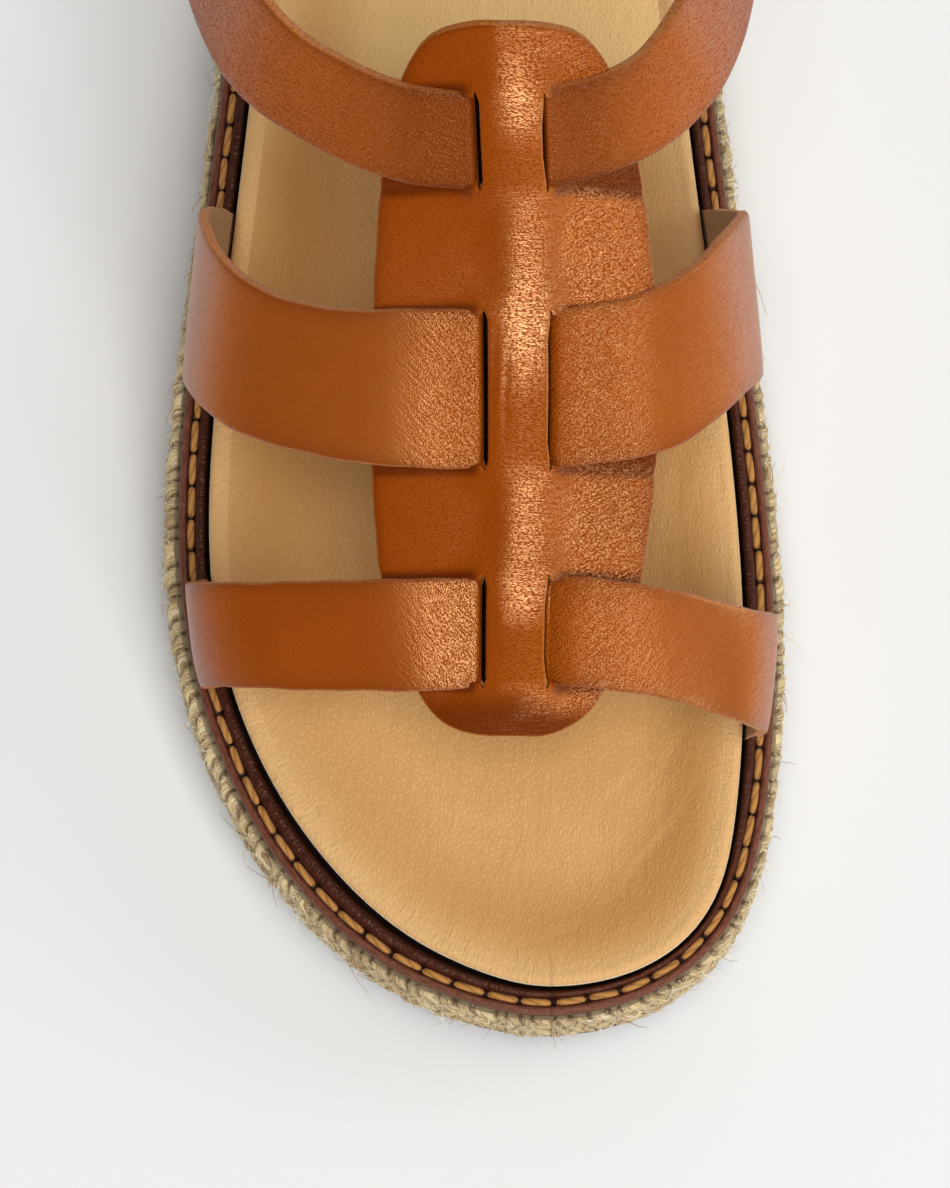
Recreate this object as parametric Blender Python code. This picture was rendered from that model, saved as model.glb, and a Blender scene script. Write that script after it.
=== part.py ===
"""Fisherman sandal for a right foot, at its real size.

A flat rubber outsole, a jute rope midsole, a leather welt stitched round its top, a padded footbed,
and an upper of three straps that cross a slotted plate along the instep. The third strap runs on
round the ankle and is sewn to a plain heel counter.

The frame: toe towards -Y, the big toe's side towards +X, the floor at Z = 0, and the origin under
the middle of the sandal's box. Lengths in the tables below are millimetres, and MM makes them metres.
"""

import math

import bmesh
import bpy
import numpy as np

MM = 0.001

# ---- driving dimensions (millimetres) ----

FOOTBED_TOE, FOOTBED_HEEL = -124.4, 123.6  # the footbed's two ends along Y

# The footbed's edge: angle from toe (0) to heel (180), then x of the little-toe edge and the big-toe edge.
FOOTBED_EDGE = (
    # angle, lateral, medial
    (0, 12.6, 12.6),
    (10, 2.4, 24.0),
    (20, -9.4, 33.6),
    (30, -20.4, 39.7),
    (40, -30.1, 42.4),
    (60, -42.5, 43.8),
    (80, -42.3, 40.6),
    (100, -37.6, 35.2),
    (120, -33.9, 32.3),
    (140, -31.4, 29.5),
    (160, -20.3, 18.0),
    (180, -1.2, -1.2),
)

# Heights along the shoe: y, underside of the sole, top of the midsole.
SOLE_HEIGHTS = (
    # y, underside, midsole top
    (-131, 5.0, 22.6),
    (-112, 2.2, 21.1),
    (-92, 0.5, 20.2),
    (-76, 0.0, 20.0),
    (-40, 0.0, 20.0),
    (0, 0.0, 21.5),
    (40, 0.0, 24.3),
    (80, 0.0, 26.0),
    (131, 0.0, 26.4),
)
# How wide the dark gap between footbed and welt is: angle as above, width.
TRENCH = (
    # angle, width
    (0, 1.0),
    (12, 0.6),
    (25, 0.55),
    (38, 1.2),
    (48, 1.7),
    (70, 1.7),
    (180, 1.7),
    (290, 1.7),
    (310, 2.0),
    (325, 2.6),
    (340, 2.2),
    (352, 1.4),
)
OUTSOLE_THICKNESS = 4.5
GAP = 0.3  # what neighbouring pieces keep between them

FOOTBED_THICKNESS = 5.2
FOOTBED_DISH = 1.3  # how far the middle lies below the rim
HEEL_CUP = 1.4  # the extra depth of the heel seat
ARCH_RISE = 2.2  # the swell under the arch of the foot

# Profiles across an edge: distance outwards and height. The footbed's starts from its own edge, and
# the pieces below it start from the far side of the gap.
FOOTBED_ROLL = ((-1.1, 0.0), (-0.9, 2.4), (-0.25, 3.1), (0.0, 3.9), (-0.25, 4.6), (-1.0, 5.05))
WELT_PROFILE = (
    (0.0, 0.0),
    (0.0, 2.6),
    (0.15, 3.2),
    (0.6, 3.5),
    (1.05, 3.2),
    (1.25, 2.2),
    (2.6, 2.15),
    (2.75, 2.45),
    (3.3, 2.45),
    (3.6, 2.0),
    (3.6, 0.3),
    (3.3, 0.0),
)
ROPE_ROWS = 3
ROPE_INNER, ROPE_OUTER = 3.9, 5.1  # the jute's side between two rows and at a row's middle
OUTSOLE_EDGE = 4.2

# The form of the foot: y, then its crest's x and height over the footbed, and how far its sides
# swell outwards on the little-toe side and on the big-toe side.
LAST_SECTIONS = (
    # y, crest x, crest, lateral, medial
    (-100, 6.2, 13.0, 6.0, 6.0),
    (-87, 6.2, 20.5, 8.0, 8.0),
    (-73, 6.3, 27.5, 10.0, 10.0),
    (-55, 6.5, 34.5, 11.0, 10.5),
    (-36, 6.7, 42.0, 11.5, 10.3),
    (-18, 6.4, 50.5, 11.4, 10.3),
    (-2, 5.7, 61.5, 11.0, 10.5),
    (15, 4.8, 74.5, 12.0, 12.0),
    (35, 4.0, 89.0, 13.0, 13.0),
)

LEATHER = 2.0
SKIVED = 0.9  # the strap's thickness where it goes down beside the footbed
FEATHER = 0.45  # the strap's inner face there, outwards from the footbed's edge
BED_IN = 0.6  # how deep fused layers sink into each other

# Straps 1 and 2: angle round the foot from the little-toe side (0) over the crest (90) to the
# big-toe side (180), then y of the front edge and of the back edge.
TOE_STRAP = (
    # angle, front, back
    (0, -76.0, -55.5),
    (27, -77.5, -60.0),
    (45, -78.5, -62.0),
    (60, -79.4, -63.0),
    (90, -79.3, -63.1),
    (105, -79.3, -63.2),
    (120, -81.0, -64.7),
    (135, -83.4, -66.2),
    (155, -83.6, -65.0),
    (180, -83.0, -62.0),
)
BALL_STRAP = (
    # angle, front, back
    (0, -23.0, 5.5),
    (20, -26.5, 0.5),
    (35, -31.0, -6.0),
    (45, -36.8, -13.0),
    (60, -43.4, -21.0),
    (75, -46.4, -22.9),
    (90, -46.8, -23.4),
    (105, -45.8, -22.2),
    (120, -41.7, -17.2),
    (135, -32.8, -8.3),
    (155, -27.0, -1.4),
    (180, -21.0, 6.5),
)

# The ankle strap's middle line: angle from the instep (0) by the big-toe side (90) to the heel (180)
# and back by the little-toe side, then x, y and z, and how far its upper edge leans inwards.
ANKLE_STRAP = (
    # angle, x, y, z, lean
    (0, 5.7, 0.3, 89.0, 52.0),
    (25, 20.5, 3.5, 87.0, 50.0),
    (45, 31.0, 10.6, 86.8, 44.0),
    (62, 37.0, 21.8, 83.3, 36.0),
    (90, 42.0, 46.0, 77.3, 18.0),
    (120, 38.8, 76.0, 74.2, 9.0),
    (150, 26.5, 104.0, 74.8, 6.0),
    (180, -1.2, 117.0, 76.0, 5.0),
    (210, -28.5, 104.0, 74.8, 6.0),
    (240, -40.6, 76.0, 74.2, 9.0),
    (270, -44.0, 46.0, 77.3, 18.0),
    (298, -37.3, 21.2, 83.3, 36.0),
    (315, -29.0, 10.8, 86.8, 44.0),
    (335, -13.0, 2.4, 87.5, 50.0),
)
ANKLE_STRAP_WIDTH = 16.2
ANKLE_BAND = (-6.1, 6.7)  # where the ankle strap crosses the crest: its front and back edge
ANKLE_ON_FOOT, ANKLE_FREE = 38.0, 68.0  # the strap lies on the foot's form up to the first angle

# The instep plate: from its front end to its back end, widest half, and how pointed its ends are.
PLATE_FRONT, PLATE_BACK = -86.8, 15.0
PLATE_HALF = 22.9
FRONT_POINT, BACK_POINT = 0.31, 0.21
PLATE_OFF_CREST = ((-60.0, -0.6), (10.0, 0.3))  # y, and how far the plate's middle lies off the crest
BRIDGE_HALF = 4.9  # half of the plate's strip that crosses over each strap
SLIT = 0.9
RIDGE_HEIGHT, RIDGE_HALF = 1.2, 6.0

# The heel counter: outline angles where its front edges start and end, and its height up the strap.
COUNTER_FOOT_ANGLE, COUNTER_TOP_ANGLE = 118.0, 140.0
COUNTER_SWELL = 2.5

RING = 72  # points round the sole


# ---- curves ----


def open_spline(knots, values, at):
    """The natural cubic through (knots, values), read at 'at'; past the ends it runs on straight."""
    knots = np.asarray(knots, float)
    values = np.asarray(values, float)
    step = np.diff(knots)
    slope = np.diff(values) / step
    count = len(knots)
    matrix = np.eye(count)
    right = np.zeros(count)
    for i in range(1, count - 1):
        matrix[i, i - 1 : i + 2] = step[i - 1], 2 * (step[i - 1] + step[i]), step[i]
        right[i] = 6 * (slope[i] - slope[i - 1])
    bend = np.linalg.solve(matrix, right)
    at = np.asarray(at, float)
    inside = np.clip(at, knots[0], knots[-1])
    i = np.clip(np.searchsorted(knots, inside, "right") - 1, 0, count - 2)
    left, rest = inside - knots[i], knots[i + 1] - inside
    curve = (bend[i] * rest**3 + bend[i + 1] * left**3) / (6 * step[i])
    curve += (values[i] / step[i] - bend[i] * step[i] / 6) * rest
    curve += (values[i + 1] / step[i] - bend[i + 1] * step[i] / 6) * left
    ends = np.where(
        at < knots[0],
        slope[0] - step[0] * bend[1] / 6,
        slope[-1] + step[-1] * bend[-2] / 6,
    )
    return curve + (at - inside) * ends


def closed_spline(knots, values, at, period=360.0):
    """A cubic through values that repeat every period, from three turns of them laid end to end."""
    knots = np.asarray(knots, float)
    turns = np.concatenate([knots - period, knots, knots + period])
    return open_spline(turns, np.tile(values, 3), np.mod(at, period))


def column(table, index):
    return [row[index] for row in table]


def smooth_step(value, start, end):
    t = np.clip((value - start) / (end - start), 0.0, 1.0)
    return t * t * (3 - 2 * t)


# ---- the sole's outline and heights ----


def footbed_edge(angle):
    """(x, y) of the footbed's edge; angle 0 is the toe, 90 the big-toe side and 180 the heel."""
    angle = np.asarray(angle, float)
    rows = FOOTBED_EDGE
    knots = column(rows, 0) + [360 - row[0] for row in reversed(rows[1:-1])]
    widths = column(rows, 2) + [row[1] for row in reversed(rows[1:-1])]
    x = closed_spline(knots, widths, angle)
    length = FOOTBED_HEEL - FOOTBED_TOE
    y = FOOTBED_TOE + length * (1 - np.cos(np.radians(angle))) / 2
    return np.stack([x, y], -1)


def outline(outwards, angle):
    """The footbed's edge moved outwards, square to itself."""
    ahead, behind = footbed_edge(angle + 0.5), footbed_edge(angle - 0.5)
    along = ahead - behind
    along /= np.linalg.norm(along, axis=-1, keepdims=True)
    normal = np.stack([along[:, 1], -along[:, 0]], -1)
    return footbed_edge(angle) + np.reshape(outwards, (-1, 1)) * normal


def sole_outline(outwards, angle):
    """The line where the welt's inner wall stands, moved outwards."""
    trench = closed_spline(column(TRENCH, 0), column(TRENCH, 1), angle)
    return outline(trench + outwards, angle)


def ring_angles():
    return np.arange(RING) * 360.0 / RING


def underside(y):
    return np.maximum(open_spline(column(SOLE_HEIGHTS, 0), column(SOLE_HEIGHTS, 1), y), 0.0)


def flat_underside(y):
    """The underside with the splines' ripple taken out where the sole lies on the floor."""
    return np.where(y > -76, 0.0, underside(y))


def midsole_top(y):
    return open_spline(column(SOLE_HEIGHTS, 0), column(SOLE_HEIGHTS, 2), y)


def middle_line(points):
    """Where each point of a ring goes as the ring shrinks to a short line along the sole's middle."""
    y = points[:, 1] * 0.62
    x = open_spline((-80, 0, 80), (6.0, -1.0, -1.2), y)
    return np.stack([x, y], -1)


def shrunk(points, share):
    return middle_line(points) * (1 - share) + points * share


# ---- meshes ----


def mesh_object(name, points, faces, material):
    """An object from points in millimetres and faces, with doubled points made one."""
    mesh = bpy.data.meshes.new(name)
    mesh.from_pydata([tuple(p) for p in np.asarray(points) * MM], [], faces)
    work = bmesh.new()
    work.from_mesh(mesh)
    bmesh.ops.remove_doubles(work, verts=work.verts, dist=1e-7)
    bmesh.ops.recalc_face_normals(work, faces=work.faces)
    work.to_mesh(mesh)
    work.free()
    mesh.materials.append(material)
    mesh.shade_smooth()
    mesh.set_sharp_from_angle(angle=math.radians(35))
    obj = bpy.data.objects.new(name, mesh)
    bpy.context.scene.collection.objects.link(obj)
    return obj


def stacked_rings(rings, closing_cap=True):
    """Points and faces of rings joined one to the next; the first and last are filled across."""
    count = len(rings[0])
    points = np.concatenate(rings)
    faces = []
    for level in range(len(rings) - 1):
        low, high = level * count, (level + 1) * count
        for i in range(count):
            j = (i + 1) % count
            faces.append((low + i, low + j, high + j, high + i))
    if closing_cap:
        for base in (0, (len(rings) - 1) * count):
            faces += across(base, count)
    return points, faces


def across(base, count):
    """Faces that close a ring by joining each point to the one facing it over the middle line."""
    half = count // 2
    faces = [(base, base + 1, base + count - 1)]
    for i in range(1, half - 1):
        faces.append((base + i, base + i + 1, base + count - i - 1, base + count - i))
    faces.append((base + half - 1, base + half, base + half + 1))
    return faces


def with_height(points, height):
    return np.column_stack([points, np.broadcast_to(height, len(points))])


def shell(name, inner, outer, material, closed=False):
    """A wall between two grids of points; a closed one joins its last row to its first."""
    rows, columns = inner.shape[:2]
    count = rows * columns
    points = np.concatenate([inner.reshape(-1, 3), outer.reshape(-1, 3)])
    faces = []
    for i in range(rows if closed else rows - 1):
        here, ahead = i * columns, (i + 1) % rows * columns
        for j in range(columns - 1):
            quad = (here + j, here + j + 1, ahead + j + 1, ahead + j)
            faces.append(quad)
            faces.append(tuple(k + count for k in reversed(quad)))
        for edge in (0, columns - 1):
            faces.append((here + edge, ahead + edge, ahead + edge + count, here + edge + count))
    if not closed:
        for row in (0, (rows - 1) * columns):
            for j in range(columns - 1):
                faces.append((row + j, row + j + 1, row + j + 1 + count, row + j + count))
    return mesh_object(name, points, faces, material)


def grid_normals(grid, closed=False):
    """Unit normals of a grid of points, from its differences along rows and columns."""
    if closed:
        along = np.roll(grid, -1, 0) - np.roll(grid, 1, 0)
    else:
        along = np.gradient(grid, axis=0)
    normal = np.cross(along, np.gradient(grid, axis=1))
    size = np.linalg.norm(normal, axis=-1, keepdims=True)
    return normal / np.maximum(size, 1e-9)


# ---- materials ----


def surface_material(name, color, roughness):
    material = bpy.data.materials.new(name)
    material.use_nodes = True
    shader = material.node_tree.nodes["Principled BSDF"]
    shader.inputs["Base Color"].default_value = (*color, 1.0)
    shader.inputs["Roughness"].default_value = roughness
    shader.inputs["Metallic"].default_value = 0.0
    material.diffuse_color = (*color, 1.0)
    return material


# ---- the sole's pieces ----


def make_outsole(material):
    """Flat rubber with a rounded edge, turned up a little under the toes."""
    angles = ring_angles()
    edge = OUTSOLE_EDGE
    rings = []
    for outwards, share, height in (
        (edge - 1.2, 0.1, 0.0),
        (edge - 1.2, 1.0, 0.0),
        (edge - 0.3, 1.0, 0.9),
        (edge, 1.0, OUTSOLE_THICKNESS - 0.6),
        (edge - 0.5, 1.0, OUTSOLE_THICKNESS),
        (edge - 0.5, 0.1, OUTSOLE_THICKNESS),
    ):
        flat = shrunk(sole_outline(outwards, angles), share)
        rings.append(with_height(flat, flat_underside(flat[:, 1]) + height))
    return mesh_object("outsole", *stacked_rings(rings), material)


def make_midsole(material):
    """Rows of jute rope round a flat core, higher under the heel."""
    angles = ring_angles()
    profile = [(ROPE_INNER, 0.0, 0.1), (ROPE_INNER, 0.0, 1.0)]
    for row in range(ROPE_ROWS):
        for part in (0.17, 0.5, 0.83, 1.0):
            bulge = math.sin(math.pi * part) ** 0.7 if part < 1.0 else 0.0
            outwards = ROPE_INNER + (ROPE_OUTER - ROPE_INNER) * bulge
            profile.append((outwards, (row + part) / ROPE_ROWS, 1.0))
    profile[-1] = (ROPE_INNER - 0.8, 1.0, 1.0)
    profile.append((ROPE_INNER - 0.8, 1.0, 0.1))
    rings = []
    for outwards, part, share in profile:
        flat = shrunk(sole_outline(outwards, angles), share)
        low = flat_underside(flat[:, 1]) + OUTSOLE_THICKNESS + GAP
        high = midsole_top(flat[:, 1])
        rings.append(with_height(flat, low + (high - low) * part))
    return mesh_object("midsole", *stacked_rings(rings), material)


def make_welt(material):
    """The welt: a raised bead inside, the bed of the stitches, and a rounded outer lip."""
    angles = ring_angles()
    rings = []
    for outwards, height in WELT_PROFILE + WELT_PROFILE[:1]:
        flat = sole_outline(outwards, angles)
        rings.append(with_height(flat, midsole_top(flat[:, 1]) + GAP + height))
    return mesh_object("welt", *stacked_rings(rings, closing_cap=False), material)


def footbed_height(points):
    """How far the footbed's top lies below its rim: a dish, a heel cup and the swell of the arch."""
    middle = middle_line(points)
    x, y = points[:, 0], points[:, 1]
    cup = HEEL_CUP * smooth_step(y, 40, 95)
    arch = ARCH_RISE * np.exp(-(((y - 12) / 38) ** 2)) * smooth_step(x - middle[:, 0], 4, 30)
    return -FOOTBED_DISH - cup + arch


def make_insole(material):
    """The padded footbed with a rolled edge, dished inside its rim."""
    angles = ring_angles()
    flat = shrunk(outline(FOOTBED_ROLL[0][0], angles), 0.1)
    rings = [with_height(flat, midsole_top(flat[:, 1]) + GAP)]
    for outwards, height in FOOTBED_ROLL:
        flat = outline(outwards, angles)
        rings.append(with_height(flat, midsole_top(flat[:, 1]) + GAP + height))
    edge = outline(-1.0, angles)
    for share, depth in ((0.93, 0.05), (0.84, 0.45), (0.7, 0.9), (0.4, 1.0), (0.1, 1.0)):
        flat = shrunk(edge, share)
        top = midsole_top(flat[:, 1]) + GAP + FOOTBED_THICKNESS
        rings.append(with_height(flat, top + depth * footbed_height(flat)))
    return mesh_object("insole", *stacked_rings(rings), material)


# ---- the form of the foot ----


def edge_at(y):
    """x of the strap's foot on the little-toe side and on the big-toe side at y."""
    turn = np.linspace(2, 178, 177)
    medial = outline(FEATHER, turn)
    lateral = outline(FEATHER, 360 - turn)
    return np.interp(y, lateral[:, 1], lateral[:, 0]), np.interp(y, medial[:, 1], medial[:, 0])


def last_point(y, angle):
    """A point of the foot's form: an arch from the little-toe edge over the crest to the big-toe edge.

    Across, it runs as the cosine of the angle and swells outwards by the squared sine of twice the
    angle, so that it starts upright beside the footbed. Upwards it runs as the sine.
    """
    y, angle = np.broadcast_arrays(np.asarray(y, float), np.asarray(angle, float))
    turn = np.radians(angle)
    lateral, medial = edge_at(y)
    knots = column(LAST_SECTIONS, 0)
    crest_x, crest, swell_lateral, swell_medial = (
        open_spline(knots, column(LAST_SECTIONS, i), y) for i in (1, 2, 3, 4)
    )
    half = np.where(turn < math.pi / 2, crest_x - lateral, medial - crest_x)
    swell = np.where(turn < math.pi / 2, -swell_lateral, swell_medial)
    x = crest_x - half * np.cos(turn) + swell * np.sin(2 * turn) ** 2
    low = midsole_top(y) + 2 * GAP
    high = midsole_top(y) + GAP + FOOTBED_THICKNESS + crest
    return np.stack([x, y, low + (high - low) * np.sin(turn)], -1)


def last_normal(y, angle):
    """The outward unit normal of the foot's form."""
    angle = np.asarray(angle, float)
    sideways = last_point(y, angle + 0.5) - last_point(y, angle - 0.5)
    along = last_point(y + 0.5, angle) - last_point(y - 0.5, angle)
    normal = np.cross(sideways, along)
    return normal / np.linalg.norm(normal, axis=-1, keepdims=True)


def angle_at_arc(y, arc):
    """The angle at which a section's length from its crest is 'arc', negative to the little-toe side."""
    sweep = np.linspace(20, 160, 141)
    points = last_point(y, sweep)
    length = np.concatenate([[0], np.cumsum(np.linalg.norm(np.diff(points, axis=0), axis=1))])
    return np.interp(arc, length - np.interp(90, sweep, length), sweep)


def arc_at_angle(y, angle):
    """The signed length along a section from its crest to an angle."""
    sweep = np.linspace(0, 180, 181)
    points = last_point(y, sweep)
    length = np.concatenate([[0], np.cumsum(np.linalg.norm(np.diff(points, axis=0), axis=1))])
    return np.interp(angle, sweep, length) - np.interp(90, sweep, length)


def plate_half(y):
    """Half the plate's width at y: a blunt-ended oval."""
    place = (2 * y - PLATE_FRONT - PLATE_BACK) / (PLATE_BACK - PLATE_FRONT)
    return PLATE_HALF * np.maximum(1 - place**2, 0.0) ** np.where(place < 0, FRONT_POINT, BACK_POINT)


def plate_offset(y):
    """How far the plate's middle lies off the crest, towards the big toe's side."""
    return np.interp(y, column(PLATE_OFF_CREST, 0), column(PLATE_OFF_CREST, 1))


def crest_band(strap):
    """A strap's front and back edge on the crest."""
    return next(row[1:] for row in strap if row[0] == 90)


def under_a_strap(y):
    """1 where a strap passes below the plate's bridge, 0 away from the straps."""
    share = np.zeros_like(np.asarray(y, float))
    for front, back in (crest_band(TOE_STRAP), crest_band(BALL_STRAP), ANKLE_BAND):
        begun = smooth_step(y, front - 1.2, front + 0.2)
        share = np.maximum(share, begun * (1 - smooth_step(y, back - 0.2, back + 1.2)))
    return share


def plate_lift(y, arc):
    """How high the plate's inner face lies over the foot: bridges at the straps, a soft ridge between."""
    bridge = (LEATHER - BED_IN) * (1 - smooth_step(abs(arc), BRIDGE_HALF, BRIDGE_HALF + SLIT))
    from_end = np.minimum(y - PLATE_FRONT, PLATE_BACK - y)
    ridge = RIDGE_HEIGHT * np.exp(-((arc / RIDGE_HALF) ** 2)) * smooth_step(from_end, 2, 12)
    return ridge + (bridge - ridge) * under_a_strap(y)


def strap_lift(y, arc):
    """How high a strap's inner face lies over the foot: on the plate, under its bridge, and beside it."""
    half = plate_half(y)
    off = abs(arc - plate_offset(y))
    over = smooth_step(abs(arc), BRIDGE_HALF, BRIDGE_HALF + SLIT)
    beside = smooth_step(off, half + 0.4, half + 5.0)
    return (LEATHER - BED_IN) * over * (1 - beside)


# ---- the upper's pieces ----


def strap_shell(name, table, turns, material):
    """A strap that rises beside the footbed, crosses the foot and goes down on the other side."""
    columns = np.linspace(0, 1, 5)
    front = open_spline(column(table, 0), column(table, 1), turns)
    back = open_spline(column(table, 0), column(table, 2), turns)
    y = front[:, None] + (back - front)[:, None] * columns[None, :]
    angle = np.repeat(turns[:, None], len(columns), 1)
    base = last_point(y, angle)
    normal = last_normal(y, angle)
    arc = np.vectorize(arc_at_angle)(y, angle)
    lift = strap_lift(y, arc)
    rise = base[..., 2] - midsole_top(y)
    thick = SKIVED + (LEATHER - SKIVED) * smooth_step(rise, 4.0, 10.0)
    inner = base + lift[..., None] * normal
    outer = base + (lift + thick)[..., None] * normal
    return shell(name, inner, outer, material)


def plate_shell(name, material):
    """The instep plate, slit on both sides of each strap so that its middle bridges over it."""
    edges = crest_band(TOE_STRAP) + crest_band(BALL_STRAP) + ANKLE_BAND
    places = (1 - np.cos(np.linspace(0, math.pi, 25))) / 2
    steps = list(PLATE_FRONT + (PLATE_BACK - PLATE_FRONT) * places)
    near = [e + shift for e in edges for shift in (-1.2, 0.2)]
    steps = [s for s in steps if min(abs(s - n) for n in near) > 1.0]
    y = np.array(sorted(steps + near))
    inner_columns = np.array([0.0, 2.6, BRIDGE_HALF, BRIDGE_HALF + SLIT])
    outer_columns = np.array([0.3, 0.65, 1.0])
    half = plate_half(y)
    tight = np.minimum(1.0, half / 9.0)
    rows = []
    for place, width, squeeze in zip(y, half, tight):
        near_columns = inner_columns * squeeze
        shift = plate_offset(place) * squeeze
        right = near_columns[-1] + outer_columns * (width + shift - near_columns[-1])
        left = near_columns[-1] + outer_columns * (width - shift - near_columns[-1])
        rows.append(np.concatenate([-left[::-1], -near_columns[:0:-1], near_columns, right]))
    arc = np.array(rows)
    angle = np.array([angle_at_arc(place, row) for place, row in zip(y, arc)])
    across_y = np.repeat(y[:, None], arc.shape[1], 1)
    base = last_point(across_y, angle)
    normal = last_normal(across_y, angle)
    lift = plate_lift(across_y, arc)
    return shell(
        name,
        base + lift[..., None] * normal,
        base + (lift + LEATHER)[..., None] * normal,
        material,
    )


def ankle_line(angle):
    """The ankle strap's middle line and the lean of its upper edge, in degrees."""
    knots = column(ANKLE_STRAP, 0)
    line = np.stack([closed_spline(knots, column(ANKLE_STRAP, i), angle) for i in (1, 2, 3)], -1)
    return line, closed_spline(knots, column(ANKLE_STRAP, 4), angle)


def ankle_surface(angle, across):
    """Points of the ankle strap's inner face; across runs from -1, its lower edge, to 1."""
    line, lean = ankle_line(angle)
    ahead, behind = ankle_line(angle + 0.5)[0], ankle_line(angle - 0.5)[0]
    along = ahead - behind
    along /= np.linalg.norm(along, axis=-1, keepdims=True)
    inwards = np.cross((0, 0, 1.0), along)
    inwards /= np.linalg.norm(inwards, axis=-1, keepdims=True)
    tilt = np.radians(lean)[:, None]
    up = np.cos(tilt) * np.array([0, 0, 1.0]) + np.sin(tilt) * inwards
    up -= (up * along).sum(-1, keepdims=True) * along
    up /= np.linalg.norm(up, axis=-1, keepdims=True)
    return line[:, None] + across[None, :, None] * (ANKLE_STRAP_WIDTH / 2) * up[:, None]


def on_the_last(points):
    """Each point moved straight up or down on to the foot's form, its normal and its arc length."""
    moved, normals, arcs = points.copy(), np.zeros_like(points), np.zeros(points.shape[:-1])
    sweep = np.linspace(25, 155, 261)
    for index in np.ndindex(points.shape[:-1]):
        x, y, _ = points[index]
        section = last_point(y, sweep)
        angle = np.interp(x, section[:, 0], sweep)
        moved[index] = last_point(y, angle)
        normals[index] = last_normal(y, angle)
        arcs[index] = arc_at_angle(y, angle)
    return moved, normals, arcs


def ankle_shell(name, material):
    """The third strap, on the foot's form over the instep and free of it round the ankle."""
    front = np.array([-64, -57, -51, -45, -39, -33, -27, -21.5, -17, -13, -10.0])
    notch = np.array([-8.4, -7.0, -3.5, 0.0, 3.5, 7.0, 8.4])
    angle = np.concatenate([front, notch, -front[::-1], np.linspace(71, 289, 31)])
    across = np.linspace(-1, 1, 5)
    free = ankle_surface(angle, across)
    normal = grid_normals(free, closed=True)
    outwards = free - free.mean(axis=(0, 1))
    normal *= np.sign((normal * outwards).sum(-1, keepdims=True))
    moved, last_normals, arcs = on_the_last(free)
    from_front = np.abs(np.mod(angle + 180, 360) - 180)
    weight = (1 - smooth_step(from_front, ANKLE_ON_FOOT, ANKLE_FREE))[:, None, None]
    base = free.copy()
    base[..., 2] += weight[..., 0] * np.clip(moved[..., 2] - free[..., 2], -1.5, 4.0)
    normal = normal + weight * (last_normals - normal)
    normal /= np.linalg.norm(normal, axis=-1, keepdims=True)
    lift = strap_lift(base[..., 1], arcs)[..., None] * weight
    return shell(name, base + lift * normal, base + (lift + LEATHER) * normal, material, closed=True)


def counter_shell(name, material):
    """The heel counter: a wall from the footbed's edge up to the inside of the ankle strap."""
    turn = np.linspace(-1, 1, 19)
    across = np.array([-1.4, -0.7, 0.0, 0.6])
    free = np.array([0.0, 0.35, 0.7, 1.0])
    rows = 2 + len(free) - 1 + len(across) - 1
    rise = np.linspace(0, 1, rows)
    spread = COUNTER_FOOT_ANGLE + (COUNTER_TOP_ANGLE - COUNTER_FOOT_ANGLE) * rise**0.8
    grid = np.zeros((len(turn), rows, 3))
    middle = np.array([-1.2, 70.0])
    for j, start in enumerate(spread):
        angle = 180 + turn * (180 - start)
        foot = outline(FEATHER, angle)
        low = with_height(foot, midsole_top(foot[:, 1]) + 2 * GAP)
        upright = low + np.array([0, 0, 4.5])
        strap = ankle_surface(angle, across)
        away = strap[:, 0, :2] - middle
        away /= np.linalg.norm(away, axis=1, keepdims=True)
        strap[..., :2] -= (LEATHER - BED_IN) * away[:, None]
        if j == 0:
            grid[:, j] = low
        elif j <= len(free):
            t = free[j - 1]
            grid[:, j] = upright + (strap[:, 0] - upright) * t
            grid[:, j, :2] += away * (COUNTER_SWELL * math.sin(math.pi * t))
        else:
            grid[:, j] = strap[:, j - len(free)]
    normal = grid_normals(grid)
    outwards = grid - np.array([*middle, 50.0])
    outwards[..., 2] = 0
    normal *= np.sign((normal * outwards).sum(-1, keepdims=True))
    rise = grid[..., 2] - midsole_top(grid[..., 1])
    thick = SKIVED + (LEATHER - SKIVED) * smooth_step(rise, 4.0, 10.0)
    return shell(name, grid, grid + thick[..., None] * normal, material)


def join(target, others):
    """The other pieces fused to the first; they stay in the file as hidden guides."""
    for other in others:
        union = target.modifiers.new("join_" + other.name, "BOOLEAN")
        union.operation = "UNION"
        union.solver = "EXACT"
        union.object = other
        other.hide_render = True
        other.display_type = "WIRE"
    return target


def make_upper(material):
    """Three straps and a heel counter, fused where they cross the slotted instep plate."""
    sides = np.concatenate([[0, 1.5, 3.5, 6, 10, 15], np.arange(20, 71, 5)])
    notch = np.array([75, 79, 81.5, 83.2, 84.6, 90, 95.4, 96.8, 98.5, 101, 105])
    turns = np.concatenate([sides, notch, 180 - sides[::-1]])
    plate = plate_shell("upper", material)
    toe = strap_shell("toe_strap", TOE_STRAP, turns, material)
    ball = strap_shell("ball_strap", BALL_STRAP, turns, material)
    ankle = ankle_shell("ankle_strap", material)
    counter = counter_shell("heel_counter", material)
    return join(plate, (toe, ball, ankle, counter))


def main():
    for obj in list(bpy.data.objects):
        bpy.data.objects.remove(obj, do_unlink=True)
    rubber = surface_material("rubber", (0.16, 0.09, 0.05), 0.7)
    jute = surface_material("jute", (0.62, 0.5, 0.33), 0.9)
    welt = surface_material("welt_leather", (0.1, 0.035, 0.025), 0.45)
    lining = surface_material("footbed_leather", (0.6, 0.4, 0.2), 0.55)
    tan = surface_material("upper_leather", (0.42, 0.13, 0.035), 0.4)
    make_outsole(rubber)
    make_midsole(jute)
    make_welt(welt)
    make_insole(lining)
    make_upper(tan)


main()
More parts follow.
